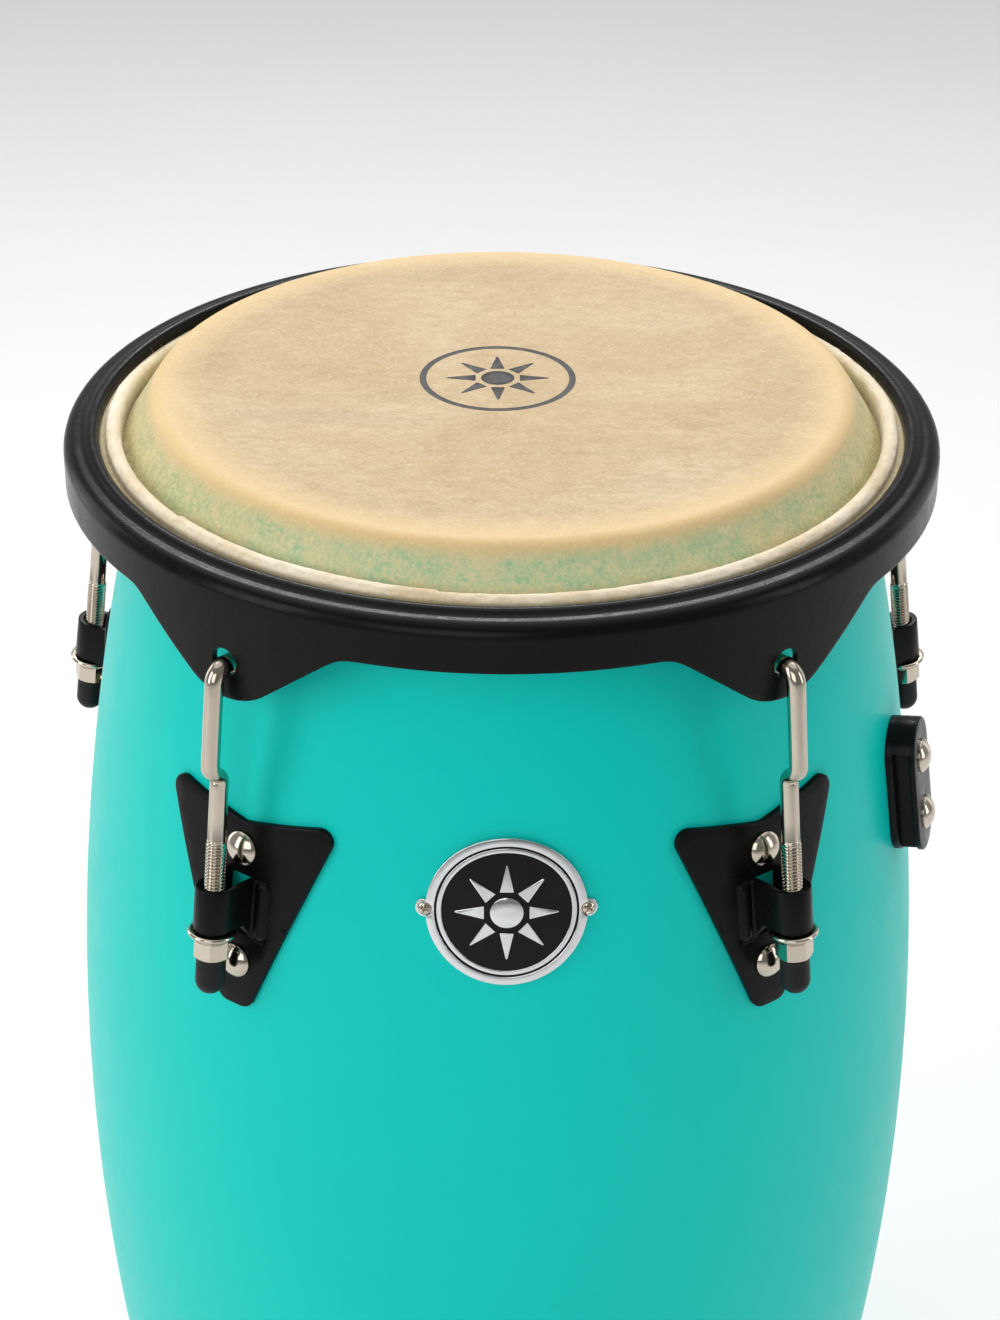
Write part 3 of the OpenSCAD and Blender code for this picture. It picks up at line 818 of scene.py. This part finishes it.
def head_profile():
    """The skin's outer face from its centre to the flesh hoop."""
    dx, dz = HOOP_R - EDGE_X, HOOP_Z - EDGE_Z
    aim = math.atan2(dz, dx) - math.asin((CROWN_R + FLESH_ROD_R) / math.hypot(dx, dz))
    normal = math.degrees(aim) + 90
    flat = [(r, HEAD_TOP) for r in [0.4, 1.5] + [EDGE_X * i / 60 for i in range(1, 61)]]
    turn = arc(EDGE_X, EDGE_Z, CROWN_R, 90, normal, 14)[1:]
    end = (HOOP_R - FLESH_ROD_R * math.cos(math.radians(normal)),
           HOOP_Z - FLESH_ROD_R * math.sin(math.radians(normal)))
    start, end = Vector(turn[-1]), Vector(end)
    slope = [tuple(start.lerp(end, i / SLOPE_CUTS)) for i in range(1, SLOPE_CUTS + 1)]
    return flat + turn + slope, math.radians(normal)


def make_head():
    outer, normal = head_profile()
    depth = SKIN_T - 0.05
    under = [(r, z - depth) for r, z in outer if r <= EDGE_X + 1e-6]
    under += arc(EDGE_X, EDGE_Z, CROWN_R - depth, 90, math.degrees(normal), 14)[1:]
    back = Vector((math.cos(normal), math.sin(normal))) * depth
    under += [(r - back.x, z - back.y) for r, z in outer[-SLOPE_CUTS:]]

    def uneven(r, z, a):
        # The hide dries a little uneven on its collar, and stays flat on top.
        amount = max(0.0, min(1.0, (r - 136) / 8))
        p = Vector((r * math.sin(a), r * math.cos(a), z))
        lift = amount * (0.45 * ball_noise(p, 17.0, 3.0) + 0.18 * ball_noise(p, 5.0, 8.0))
        return r + 0.5 * lift, z + 0.8 * lift

    verts, faces = lathe(outer + under[::-1], 320, close_profile=False, change=uneven)
    obj = build("rawhide_head", verts, faces, None, "rawhide", SKIN, 60)
    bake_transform(obj)
    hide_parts("head_membrane", "head_collar")


def make_fold():
    """The hide's tucked end: it wraps the flesh hoop and stands above it as a raw edge."""
    top = FOLD_TOP
    core = spline(
        [(HOOP_R - 5.2, HOOP_Z + 1.0), (HOOP_R - 5.5, top - 5.2), (HOOP_R - 5.1, top - 1.7),
         (HOOP_R - 3.9, top - 0.3), (HOOP_R - 2.3, top + 0.1), (HOOP_R - 0.7, top - 0.5),
         (HOOP_R + 0.6, top - 2.0), (HOOP_R + 0.9, top - 4.2), (HOOP_R + 2.8, HOOP_Z + 4.7)], 5)
    bowl = arc(HOOP_R, HOOP_Z, FLESH_ROD_R + SKIN_T, 45, -192, 26)
    profile = [tuple(p) for p in core] + bowl[1:-1]

    def ragged(r, z, a):
        p = Vector((r * math.sin(a), r * math.cos(a), z))
        edge = max(0.0, min(1.0, (z - (top - 5)) / 4))
        lap = 1.1 * edge if -0.16 - 0.75 < angle_from_front(a) < -0.16 else 0.0
        lap *= 1 if r < HOOP_R else 0.3
        sag = edge * fold_sag(a)
        wide = ball_noise(p, 22.0, 1.0)
        fine = ball_noise(p, 3.1, 5.0)
        tuft = ball_noise(p, 1.1, 9.0)
        out = edge * (0.45 * wide + 0.30 * fine + 0.16 * tuft)
        return r - lap * 0.8 + 0.6 * out, z + 0.25 * lap + out - sag

    verts, faces = lathe(profile, 1100, close_profile=True, change=ragged)
    obj = build("hide_fold", verts, faces, HOOP, "rawhide_edge", HIDE_EDGE, 80)
    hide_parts("head_fold")


def angle_from_front(a):
    return (a + math.pi) % (2 * math.pi) - math.pi


def fold_sag(a):
    """How far the raw edge sinks round the back, in millimetres."""
    return 3.0 * max(0.0, min(1.0, (abs(angle_from_front(a)) - 1.7) / 0.5))


def make_fibres():
    """Loose fibres along the raw edge."""
    rng = random.Random(11)
    verts, faces = [], []
    for _ in range(2600):
        a = rng.uniform(0, 2 * math.pi)
        inner = rng.random() < 0.7
        r = HOOP_R + (rng.gauss(-4.6, 0.5) if inner else rng.uniform(-4, 0.5))
        base = Vector((r * math.sin(a), -r * math.cos(a), FOLD_TOP - rng.uniform(0.6, 1.6)))
        base.z -= fold_sag(a)
        radial = Vector((math.sin(a), -math.cos(a), 0))
        along = Vector((math.cos(a), math.sin(a), 0))
        aim = radial * (rng.gauss(-0.7, 0.5) if inner else rng.gauss(0, 0.4))
        aim += along * rng.gauss(0, 0.7) + Vector((0, 0, rng.uniform(0.3, 1.0)))
        aim.normalize()
        length = min(3.4, rng.expovariate(1 / 0.9) + 0.5)
        curl = Vector((rng.gauss(0, 1), rng.gauss(0, 1), rng.gauss(0, 1))) * 0.25
        side = aim.cross(Vector((0.3, 0.2, 0.9))).normalized()
        other = aim.cross(side)
        start = len(verts)
        for step, width in ((0, 0.055), (0.5, 0.045), (1.0, 0.012)):
            centre = base + aim * length * step + curl * length * step * step
            for j in range(3):
                t = 2 * math.pi * j / 3
                verts.append(centre + (side * math.cos(t) + other * math.sin(t)) * width)
        faces += [tuple(i + start for i in f) for f in loop_faces(3, 3)]
        faces += [(start + 2, start + 1, start), (start + 6, start + 7, start + 8)]
    build("hide_fibres", verts, faces, HOOP, "rawhide_edge", HIDE_EDGE, 80)


# ---- The generic mark: a plain eight-rayed sun in a ring ------------------------------------
def circle_loop(r, n):
    turns = [2 * math.pi * i / n for i in range(n)]
    return [Vector((r * math.cos(t), r * math.sin(t))) for t in turns]


def sun_parts(r):
    """Outlines of the sun: its disc and its eight rays."""
    foot, half, soft = 0.40 * r, 0.13 * r, 0.012 * r
    ray = round_polygon([(foot, -half, soft), (r, 0.0, 0.02 * r), (foot, half, soft)], 4)
    turns = [Matrix.Rotation(math.pi / 4 * i, 2) for i in range(8)]
    return [circle_loop(0.3 * r, 40)] + [[turn @ p for p in ray] for turn in turns]


def ring_slab(outer_r, inner_r, z0, z1, edge, place):
    sides = 120
    return slab(circle_loop(outer_r, sides), [circle_loop(inner_r, sides)], z0, z1, edge, place, step=3.0)


def make_head_print():
    cx, cy = -1.8, 2.5

    def place(x, y, z):
        return Vector((x + cx, y + cy, HEAD_TOP + z))

    parts = [ring_slab(31.0, 28.4, 0.0, 0.05, 0.02, place)]
    parts += [slab(loop, [], 0.0, 0.05, 0.02, place, step=3.0, ring=1) for loop in sun_parts(22.0)]
    build("head_print", *merge(parts), SHELL, "rawhide", INK, 60)


# ---- Tuning lugs --------------------------------------------------------------------------
ROD_R = 3.55
THREAD_R = 3.95
PITCH = 25.4 / 18
THREAD_TOP = 42.0
ROD_END = 17.0
CRIMP_Z = 69.8
HOOK_Z = 113.3
HOOK_BEND = 6.0
HOOK_REACH = 3.2
TAIL_BEND = 5.5
OFFSET_Y = -5.6


def thread_part():
    """The rolled 18 TPI thread, run out at both ends, from the rod's end to its top."""
    sides, per_turn = 28, 10
    rows = int((ROD_END + THREAD_TOP) / PITCH * per_turn)
    depth = 0.80
    verts = []
    for i in range(rows + 1):
        z = -ROD_END + (ROD_END + THREAD_TOP) * i / rows
        fade = min(1.0, (z + ROD_END) / 2.0, (THREAD_TOP - z) / 2.5)
        root = THREAD_R - depth
        for j in range(sides):
            a = 2 * math.pi * j / sides
            phase = (z / PITCH - a / (2 * math.pi)) % 1.0
            ridge = min(1.0, max(0.0, 1.28 * (1 - abs(2 * phase - 1)) - 0.12))
            r = root + depth * ridge
            r = r * fade + ROD_R * (1 - fade)
            verts.append(Vector((r * math.cos(a), r * math.sin(a), z)))
    return verts, tube_faces(rows + 1, sides)


def hook_path():
    """Middle of the plain rod: straight up, over the crimp, up, and over into the ear."""
    bend = 4.2
    swing = math.acos(1 + OFFSET_Y / (2 * bend))
    half = bend * math.sin(swing)
    low, high = CRIMP_Z - half, CRIMP_Z + half
    path = [Vector((0, 0, z)) for z in (THREAD_TOP, THREAD_TOP + 6, 50, 56, low - 3, low - 1)]
    path += [Vector((0, -bend + y, low + z)) for y, z in arc(0, 0, bend, 0, math.degrees(swing), 9)]
    upper = arc(0, 0, bend, math.degrees(swing), 0, 9)
    path += [Vector((0, OFFSET_Y + bend - y, high - z)) for y, z in upper[1:]]
    path += [Vector((0, OFFSET_Y, z)) for z in (high + 1.5, 80, 86, 92, 98, 102)]
    over, tail = OFFSET_Y + HOOK_BEND, OFFSET_Y + HOOK_BEND + HOOK_REACH
    path += [Vector((0, over - y, HOOK_Z - HOOK_BEND + z)) for y, z in arc(0, 0, HOOK_BEND, 0, 90, 12)]
    path += [Vector((0, over + HOOK_REACH / 2, HOOK_Z))]
    path += [Vector((0, tail + y, HOOK_Z - TAIL_BEND + z)) for y, z in arc(0, 0, TAIL_BEND, 90, 0, 10)]
    path += [Vector((0, tail + TAIL_BEND, HOOK_Z - TAIL_BEND - d)) for d in (1.5, 3.0)]
    tip = path[-1]
    path += [tip + Vector((0, 0, -d)) for d in (0.5, 0.85, 1.0)]
    return path


def hook_radii(path):
    """Nearly round, a little flattened where the rod was pressed at the crimp."""
    def radius(i):
        z = path[i].z
        near = math.exp(-(((z - CRIMP_Z) / 3.4) ** 2)) if path[i].y < 1 else 0.0
        end = {len(path) - 1: 0.72, len(path) - 2: 0.88, len(path) - 3: 0.97}.get(i, 1.0)
        return ROD_R * (1 + 0.10 * near) * end, ROD_R * (1 - 0.16 * near) * end
    return radius


def make_lugs():
    path = hook_path()
    rod = sweep(path, 32, hook_radii(path))
    thread = thread_part()
    for k in range(1, 6):
        part = moved(merge([rod, thread]), lug_place(k))
        obj = build(f"hooked_lug_{k}", *part, f"lug_body_{k}", "nickel", NICKEL, 50)
        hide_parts(f"lug_{k}")


def hex_part(af, z0, z1):
    """A hexagon whose corners are turned off at its lower end."""
    sides = 72

    def hex_r(t):
        return af / 2 / math.cos((t + math.pi / 6) % (math.pi / 3) - math.pi / 6)

    across = af / 2
    height = z1 - z0
    levels = [0, 0.15, 0.4, 0.8, 1.3, height / 2]
    heights = sorted({z0 + v for v in levels} | {z1 - v for v in levels})
    verts = []
    for z in heights:
        low = (z - z0) / math.tan(math.radians(30))
        for j in range(sides):
            t = 2 * math.pi * j / sides
            r = min(hex_r(t), across - 0.1 + low)
            verts.append(Vector((r * math.cos(t), r * math.sin(t), z)))
    return verts, tube_faces(len(heights), sides)


NUT_SEAT = 3.6
FLANGE_R = 9.5
HEX_AF = 12.7
HEX_END = 7.8
CAP_R = 5.8
CAP_END = 24.0


def nut_part():
    """The hexagon and the flange above it, whose rim is rounded and whose neck flares."""
    half = 0.95
    rim = arc(FLANGE_R - half, NUT_SEAT - half, half, 90, -90, 8)
    neck = [(8.1, 1.3), (7.3, 0.4), (6.9, -0.4), (6.3, -0.8)]
    flange = [(4.1, NUT_SEAT - 0.1), (7.6, NUT_SEAT)] + rim + neck
    return merge([hex_part(HEX_AF, -HEX_END, 0.2), lathe(flange[::-1], 72)])


def cap_part():
    """The rubber cap: a soft lip and a faint groove at its top, and a round end."""
    top, ball = -HEX_END - 0.02, CAP_R - CAP_END
    cap = [(4.1, top - 0.05), (CAP_R - 0.7, top - 0.02), (CAP_R - 0.15, top - 0.2),
           (CAP_R, top - 0.7), (CAP_R + 0.02, top - 1.5), (CAP_R - 0.08, top - 1.8),
           (CAP_R - 0.02, top - 2.2), (CAP_R, ball)]
    cap += arc(0, ball, CAP_R, -4, -88, 12)
    return lathe(cap[::-1], 48)


def make_nuts_and_caps():
    nut_shape, cap_shape = nut_part(), cap_part()
    for k in range(1, 6):
        place, body = lug_place(k), f"nut_body_{k}"
        turn = place @ Matrix.Rotation(math.radians(11 + 23 * k), 4, "Z")
        nut = build(f"flange_nut_{k}", *moved(nut_shape, turn), body, "nickel", NICKEL, 30)
        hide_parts(f"nut_{k}")
        cap = build(f"rubber_cap_{k}", *moved(cap_shape, place), body, "black_rubber", RUBBER, 50)
        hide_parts(f"nut_cap_{k}")


# ---- Side plates --------------------------------------------------------------------------
PLATE_T = 2.5
LOBE = (32.5, 41.3)
DIP_Y = 34.8
TIP = (3.2, -32.2)
CORNER_R = 5.5
LOOP_R = 7.6
LOOP_WALL = 2.6
LOOP_Z = (4.0, 22.1)
LEG_Y = (8.8, 15.5)
LEG_Z = -4.5
LOOP_LEAN = wall_lean(NUT_Z + sum(LOOP_Z) / 2)


def plate_outline():
    """Two upper lobes whose straight edges meet in a notch, and a lower tip, with round
    corners. X runs along the wall, Y up from the nut."""
    core = [LOBE, (0.0, DIP_Y), (-LOBE[0], LOBE[1]), (-TIP[0], TIP[1]), TIP]
    core = [Vector(p) for p in core]
    out = []
    for i, p in enumerate(core):
        before, after = p - core[i - 1], core[(i + 1) % len(core)] - p
        n0 = Vector((before.y, -before.x)).normalized()
        n1 = Vector((after.y, -after.x)).normalized()
        swing = n0.angle_signed(n1)
        if before.cross(after) < 0:
            out.append(p + (n0 + n1).normalized() * CORNER_R / math.cos(swing / 2))
            continue
        steps = max(3, math.ceil(abs(swing) / 0.18))
        out += [p + Matrix.Rotation(-swing * j / steps, 2) @ n0 * CORNER_R for j in range(steps + 1)]
    return resample(out, 3.0)


def strap_part():
    """The loop round the lug: a strip whose legs run lower near the wall and turn into
    the plate, on the loop's own axis."""
    mid = LOOP_R - LOOP_WALL / 2
    foot = 3.2
    reach = 15.6
    right = [(mid + foot + 4.0, reach), (mid + foot, reach)]
    right += [(mid + foot - x, reach - foot + y) for x, y in arc(0, 0, foot, 90, 0, 6)][1:]
    right += [(mid, y) for y in (11.0, 9.9, 8.8, 6.0, 3.0)]
    left = [(-x, y) for x, y in reversed(right)]
    path = right + arc(0, 0, mid, 0, -180, 22) + left
    half, edge = LOOP_WALL / 2, 0.55
    corners = 4 * 4
    verts = []
    for i, (x, y) in enumerate(path):
        a, b = path[max(i - 1, 0)], path[min(i + 1, len(path) - 1)]
        t = Vector((b[0] - a[0], b[1] - a[1])).normalized()
        n = Vector((-t.y, t.x))
        share = max(0.0, min(1.0, (y - LEG_Y[0]) / (LEG_Y[1] - LEG_Y[0])))
        z0, z1 = LOOP_Z[0] + (LEG_Z - LOOP_Z[0]) * share, LOOP_Z[1]
        for cx, cz, a0 in ((half - edge, z1 - edge, 0), (edge - half, z1 - edge, 90),
                           (edge - half, z0 + edge, 180), (half - edge, z0 + edge, 270)):
            for off, z in arc(cx, cz, edge, a0, a0 + 90, 3):
                verts.append(Vector((x + n.x * off, y + n.y * off, z)))
    return verts, tube_faces(len(path), corners)


def bead_part(x, z0, z1, r, place):
    """A pressed rib: a long round-ended bead half sunk in the plate."""
    profile = arc(0, z0, r, -90, 0, 6) + arc(0, z1, r, 0, 90, 6)
    verts = []
    sides = 20
    for rr, z in profile:
        for j in range(sides):
            t = 2 * math.pi * j / sides
            verts.append(place(x + rr * math.cos(t), z, rr * math.sin(t) * 0.9))
    faces = [f[::-1] for f in loop_faces(len(profile), sides)]
    return verts, faces


def make_side_plates():
    outline = plate_outline()
    corners = [(-5.4, -5.5, 1.0), (5.4, -5.5, 1.0), (5.4, 18.8, 1.0), (-5.4, 18.8, 1.0)]
    window = resample(round_polygon(corners, 4), 2.0)
    strap = strap_part()
    for k in range(1, 6):
        az = LUG_AZIMUTHS[k]

        def place(x, y, z, az=az):
            return wrap(az, x, NUT_Z + y, z)

        sheet = slab(outline, [window], 0.05, PLATE_T, 0.7, place, step=4.0)
        beads = [
            bead_part(s * 10.8, -2.7, 16.2, 3.6, lambda x, y, z: wrap(az, x, NUT_Z + y, 1.4 + z))
            for s in (-1, 1)
        ]
        loop = moved(strap, leaning_place(k, LOOP_LEAN))
        obj = build(f"pressed_plate_{k}", *merge([sheet, loop] + beads), SHELL, "plate_coat", PLATE_COAT, 38)
        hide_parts(f"side_plate_{k}")


def dome_part(head_r, out):
    """A carriage bolt's head: a shallow dome with a soft rim."""
    dome_r = 1.35 * head_r
    rise = dome_r - math.sqrt(dome_r**2 - head_r**2)
    limit = math.degrees(math.acos(head_r / dome_r))
    top = [(x, out + 0.85 + rise - dome_r + y) for x, y in arc(0, 0, dome_r, 89.5, limit + 3, 12)]
    rim = [(head_r - 0.12, out + 0.86), (head_r, out + 0.66), (head_r, out + 0.25), (head_r - 0.2, out)]
    return lathe((top + rim)[::-1], 56)


def make_bolts():
    domes = [
        moved(dome_part(7.0, PLATE_T + 0.1), wall_place(az, NUT_Z + dz))
        for az in LUG_AZIMUTHS.values()
        for dz in BOLT_HEIGHTS
    ]
    build("carriage_heads", *merge(domes), SHELL, "nickel", NICKEL, 35)


# ---- Stand bracket ------------------------------------------------------------------------
BRACKET_Z = NUT_Z + 6.7
BRACKET_L = 58.7
BRACKET_W = 28.0
BRACKET_T = 11.4
BRACKET_PITCH = 26.4
GROOVE_OUT = 2.5
GROOVE_W = 6.5
GROOVE_D = 5.5
GROOVE_TOP = 20.5


def stadium(half_w, half_l, n=20):
    straight = half_l - half_w
    top = [Vector(p) for p in arc(0, straight, half_w, 0, 180, n)]
    bottom = [Vector(p) for p in arc(0, -straight, half_w, 180, 360, n)]
    return top + bottom


def groove_core():
    """The bracket between its flanges: full width above the grooves, narrow beside them."""
    half = BRACKET_W / 2 - GROOVE_D
    straight = BRACKET_L / 2 - BRACKET_W / 2
    foot_r = BRACKET_W / 2 - 0.8
    side = math.degrees(math.asin(half / foot_r))
    shoulder = math.degrees(math.asin((GROOVE_TOP - straight) * 2 / BRACKET_W))
    bottom = arc(0, -straight, foot_r, -90 - side, -90 + side, 10)
    top = arc(0, straight, BRACKET_W / 2, shoulder, 180 - shoulder, 20)
    return [Vector(p) for p in bottom + [(half, GROOVE_TOP)] + top + [(-half, GROOVE_TOP)]]


def make_bracket():
    frame_at = wall_place(BRACKET_AZ, BRACKET_Z)

    def flat(x, y, z):
        return frame_at @ Vector((x, y, z))

    def seated(x, y, z):
        # Points at the foot follow the shell's face; the rest of the block is flat.
        if z > 1.0:
            return flat(x, y, z)
        p = flat(x, y, z)
        r = math.hypot(p.x, p.y)
        s = (wall_r(p.z) + 0.05) / r
        return Vector((p.x * s, p.y * s, p.z))

    outline = resample(stadium(BRACKET_W / 2, BRACKET_L / 2), 3.0)
    inner, outer = GROOVE_OUT, GROOVE_OUT + GROOVE_W
    flange = slab(outline, [], 0.0, inner, 0.6, seated, step=5.0)
    core = slab(resample(groove_core(), 3.0), [], inner - 0.8, outer + 0.8, 0.05, flat, step=5.0)
    face = slab(outline, [], outer, BRACKET_T, 0.8, flat, step=5.0, back=0.6)
    obj = build("fork_bracket", *merge([flange, core, face]), SHELL, "bracket_black", BRACKET_COAT, 38)
    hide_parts("stand_bracket")
    heads = [
        moved(dome_part(7.0, BRACKET_T), frame_at @ Matrix.Translation((0, s * BRACKET_PITCH / 2, 0)))
        for s in (-1, 1)
    ]
    build("bracket_heads", *merge(heads), SHELL, "nickel", NICKEL, 35)


# ---- Badge --------------------------------------------------------------------------------
BADGE_AZ = math.radians(0.3)
BADGE_Z = NUT_Z + 22.6
BADGE_R = 30.0
BADGE_EAR_X = BADGE_R + 0.2
BADGE_RIM_W = 3.3
SCREW_R = 2.7


def badge_place(x, y, z):
    """Wraps a badge point on the shell: the badge is pressed to the shell's curve."""
    lean = math.cos(wall_lean(BADGE_Z))
    return wrap(BADGE_AZ, x, BADGE_Z + y * lean, z)


def badge_outline():
    """A circle with a small screw ear on each side."""
    ear = 3.8
    out = []
    gap = math.degrees(math.asin(ear * 0.86 / BADGE_R))
    for side in (0, 180):
        cx = BADGE_EAR_X if side == 0 else -BADGE_EAR_X
        out += [Vector(p) for p in arc(cx, 0, ear, side - 78, side + 78, 12)]
        out += [Vector(p) for p in arc(0, 0, BADGE_R, side + gap, side + 180 - gap, 60)]
    return out


def badge_rim_outline():
    """The raised rim's outer edge, which steps back round the two screw heads."""
    bite = SCREW_R + 0.15
    chord = (BADGE_R**2 - bite**2 + BADGE_EAR_X**2) / (2 * BADGE_EAR_X)
    gap = math.degrees(math.acos(chord / BADGE_R))
    swing = math.degrees(math.acos((BADGE_EAR_X - chord) / bite))
    points = arc(0, 0, BADGE_R, gap, 180 - gap, 70)
    points += arc(-BADGE_EAR_X, 0, bite, swing, -swing, 14)[1:-1]
    return [Vector(p) for p in points] + [Vector((-x, -y)) for x, y in points]


def make_badge():
    outline = badge_outline()
    base = slab(outline, [], 0.05, 1.3, 0.35, badge_place, step=4.0)
    bore = circle_loop(BADGE_R - BADGE_RIM_W, 120)
    rim = slab(badge_rim_outline(), [bore], 0.9, 2.5, 0.3, badge_place, step=3.0)
    ring = build("badge_body", *merge([base, rim]), SHELL, "badge_chrome", CHROME, 40)
    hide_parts("badge_ring")
    field = slab(circle_loop(BADGE_R - BADGE_RIM_W + 0.1, 120), [], 1.2, 1.75, 0.05, badge_place, step=3.0)
    black = build("badge_enamel", *field, SHELL, "badge_enamel", ENAMEL, 40)
    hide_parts("badge_field")
    marks = [ring_slab(BADGE_R - 4.1, BADGE_R - 5.9, 1.6, 2.3, 0.25, badge_place)]
    rays = sun_parts(BADGE_R - 9.3)
    marks += [slab(loop, [], 1.6, 2.5, 0.3, badge_place, step=3.0, ring=2) for loop in rays]
    sun = build("badge_sun", *merge(marks), SHELL, "badge_chrome", CHROME, 40)
    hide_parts("badge_emblem")
    make_badge_screws()


def make_badge_screws():
    """Pan-head screws with a cross recess, seated square to the shell at each ear."""
    heads = []
    for s in (-1, 1):
        az = BADGE_AZ + s * math.asin(BADGE_EAR_X / wall_r(BADGE_Z))
        frame_at = wall_place(az, BADGE_Z) @ Matrix.Rotation(math.radians(20 + 35 * s), 4, "Z")
        heads.append(moved(cross_head(SCREW_R, 1.25), frame_at))
    obj = build("cross_screws", *merge(heads), SHELL, "nickel", NICKEL, 35)
    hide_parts("badge_screws")


def cross_head(r, seat):
    """A domed head with four wedge-shaped walls round its cross recess."""
    sides = 48
    levels = [(1.0, 0.0), (1.0, 0.35), (0.93, 0.75), (0.78, 1.05),
              (0.58, 1.25), (0.36, 1.36), (0.18, 1.40), (0.02, 1.41)]
    verts = []
    for share, h in levels:
        for j in range(sides):
            t = 2 * math.pi * j / sides
            x, y = share * r * math.cos(t), share * r * math.sin(t)
            slot = min(abs(x), abs(y))
            depth = 0.75 * max(0.0, 1 - slot / 0.34) ** 0.5 if share < 0.62 and slot < 0.34 else 0.0
            verts.append(Vector((x, y, seat + h - depth)))
    return verts, tube_faces(len(levels), sides)


# ---- CAD nodes that stay ------------------------------------------------------------------
def dress_cad_nodes():
    finishes = {
        "top_reinforcing_ring": RING_WOOD, "bottom_reinforcing_ring": RING_WOOD,
        "base_rubber_ring": RUBBER, "side_plate_washers": ZINC, "side_plate_nuts": ZINC,
        "bracket_backing_plate": ZINC, "bracket_nuts": ZINC, "flesh_hoop": ZINC,
        "side_plate_bolts": NICKEL, "bracket_bolts": NICKEL,
    }
    finishes.update({f"backing_plate_{k}": ZINC for k in range(1, 6)})
    for name, material in finishes.items():
        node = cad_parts[name]
        node.data.materials.clear()
        node.data.materials.append(material)


# ---- Studio -------------------------------------------------------------------------------
CAMERA_TURN = math.radians(-0.81)
CAMERA_PITCH = math.radians(29.87)
CAMERA_ROLL = math.radians(0.472)
CAMERA_BACK = 1072.6
CAMERA_UP = NUT_Z + 649.8
FOCAL_OVER_HEIGHT = 2.24288
SENSOR = 36


def make_camera():
    """The photograph's view: about 1.25 m away, looking down by 30 degrees."""
    data = bpy.data.cameras.new("camera")
    data.lens = SENSOR * FOCAL_OVER_HEIGHT
    data.sensor_width = SENSOR
    data.clip_start, data.clip_end = 0.05, 50
    camera = bpy.data.objects.new("camera", data)
    bpy.context.collection.objects.link(camera)
    back = Matrix.Translation((0, -CAMERA_BACK * MM, CAMERA_UP * MM))
    tilt = Matrix.Rotation(math.pi / 2 - CAMERA_PITCH, 4, "X")
    camera.matrix_world = turned(CAMERA_TURN) @ back @ tilt @ Matrix.Rotation(CAMERA_ROLL, 4, "Z")
    bpy.context.scene.camera = camera


def area_light(name, size, energy, at, aim):
    data = bpy.data.lights.new(name, "AREA")
    data.shape = "RECTANGLE"
    data.size, data.size_y = size
    data.energy = energy
    light = bpy.data.objects.new(name, data)
    bpy.context.collection.objects.link(light)
    light.location = at
    light.rotation_euler = (Vector(aim) - Vector(at)).to_track_quat("-Z", "Y").to_euler()


def light_the_sky(tree):
    """A pale room, a little dimmer in front of the drum than behind it."""
    coords = tree.nodes.new("ShaderNodeTexCoord")
    axes = tree.nodes.new("ShaderNodeSeparateXYZ")
    tree.links.new(coords.outputs["Generated"], axes.inputs[0])
    back = tree.nodes.new("ShaderNodeMapRange")
    for socket, value in zip(back.inputs[1:], (-0.9, 0.9, 0.22, 0.42)):
        socket.default_value = value
    tree.links.new(axes.outputs["Y"], back.inputs[0])
    tree.nodes["Background"].inputs["Color"].default_value = (1, 1, 1, 1)
    tree.links.new(back.outputs[0], tree.nodes["Background"].inputs["Strength"])


def make_studio():
    half = 6.0
    corners = [(-half, -half, 0), (half, -half, 0), (half, half, 0), (-half, half, 0)]
    mesh = bpy.data.meshes.new("floor")
    mesh.from_pydata(corners, [], [(0, 1, 2, 3)])
    ground = bpy.data.objects.new("floor", mesh)
    ground.data.materials.append(floor_finish())
    bpy.context.collection.objects.link(ground)
    world = bpy.data.worlds.new("studio")
    world.use_nodes = True
    light_the_sky(world.node_tree)
    bpy.context.scene.world = world
    area_light("top_soft", (2.6, 1.5), 11, (0.0, 0.9, 2.6), (0, 0, 0.5))
    area_light("left_soft", (0.9, 1.8), 18, (-2.0, -1.1, 1.4), (0, 0, 0.5))
    area_light("right_soft", (0.5, 1.5), 7, (2.0, -0.6, 1.2), (0, 0, 0.5))
    area_light("front_soft", (1.4, 1.4), 12, (-0.6, -2.2, 1.5), (0, 0, 0.45))
    area_light("left_edge", (0.9, 1.8), 9, (-2.1, 1.3, 1.0), (0, 0, 0.5))
    area_light("right_edge", (0.9, 1.8), 4, (2.1, 1.3, 1.0), (0, 0, 0.5))
    area_light("back_strip", (1.5, 0.14), 24, (0.0, 1.8, 2.2), (0, 0, 0.7))
    sky = bpy.data.lights.new("wide_sky", "SUN")
    sky.energy, sky.angle = 0.8, math.radians(80)
    lamp = bpy.data.objects.new("wide_sky", sky)
    lamp.rotation_euler = (math.radians(-18), 0, 0)
    bpy.context.collection.objects.link(lamp)
    bpy.context.scene.view_settings.view_transform = "Standard"


make_camera()
make_shell()
make_counterhoop()
make_head()
make_fold()
make_fibres()
make_head_print()
make_lugs()
make_nuts_and_caps()
make_side_plates()
make_bolts()
make_bracket()
make_badge()
dress_cad_nodes()
make_studio()
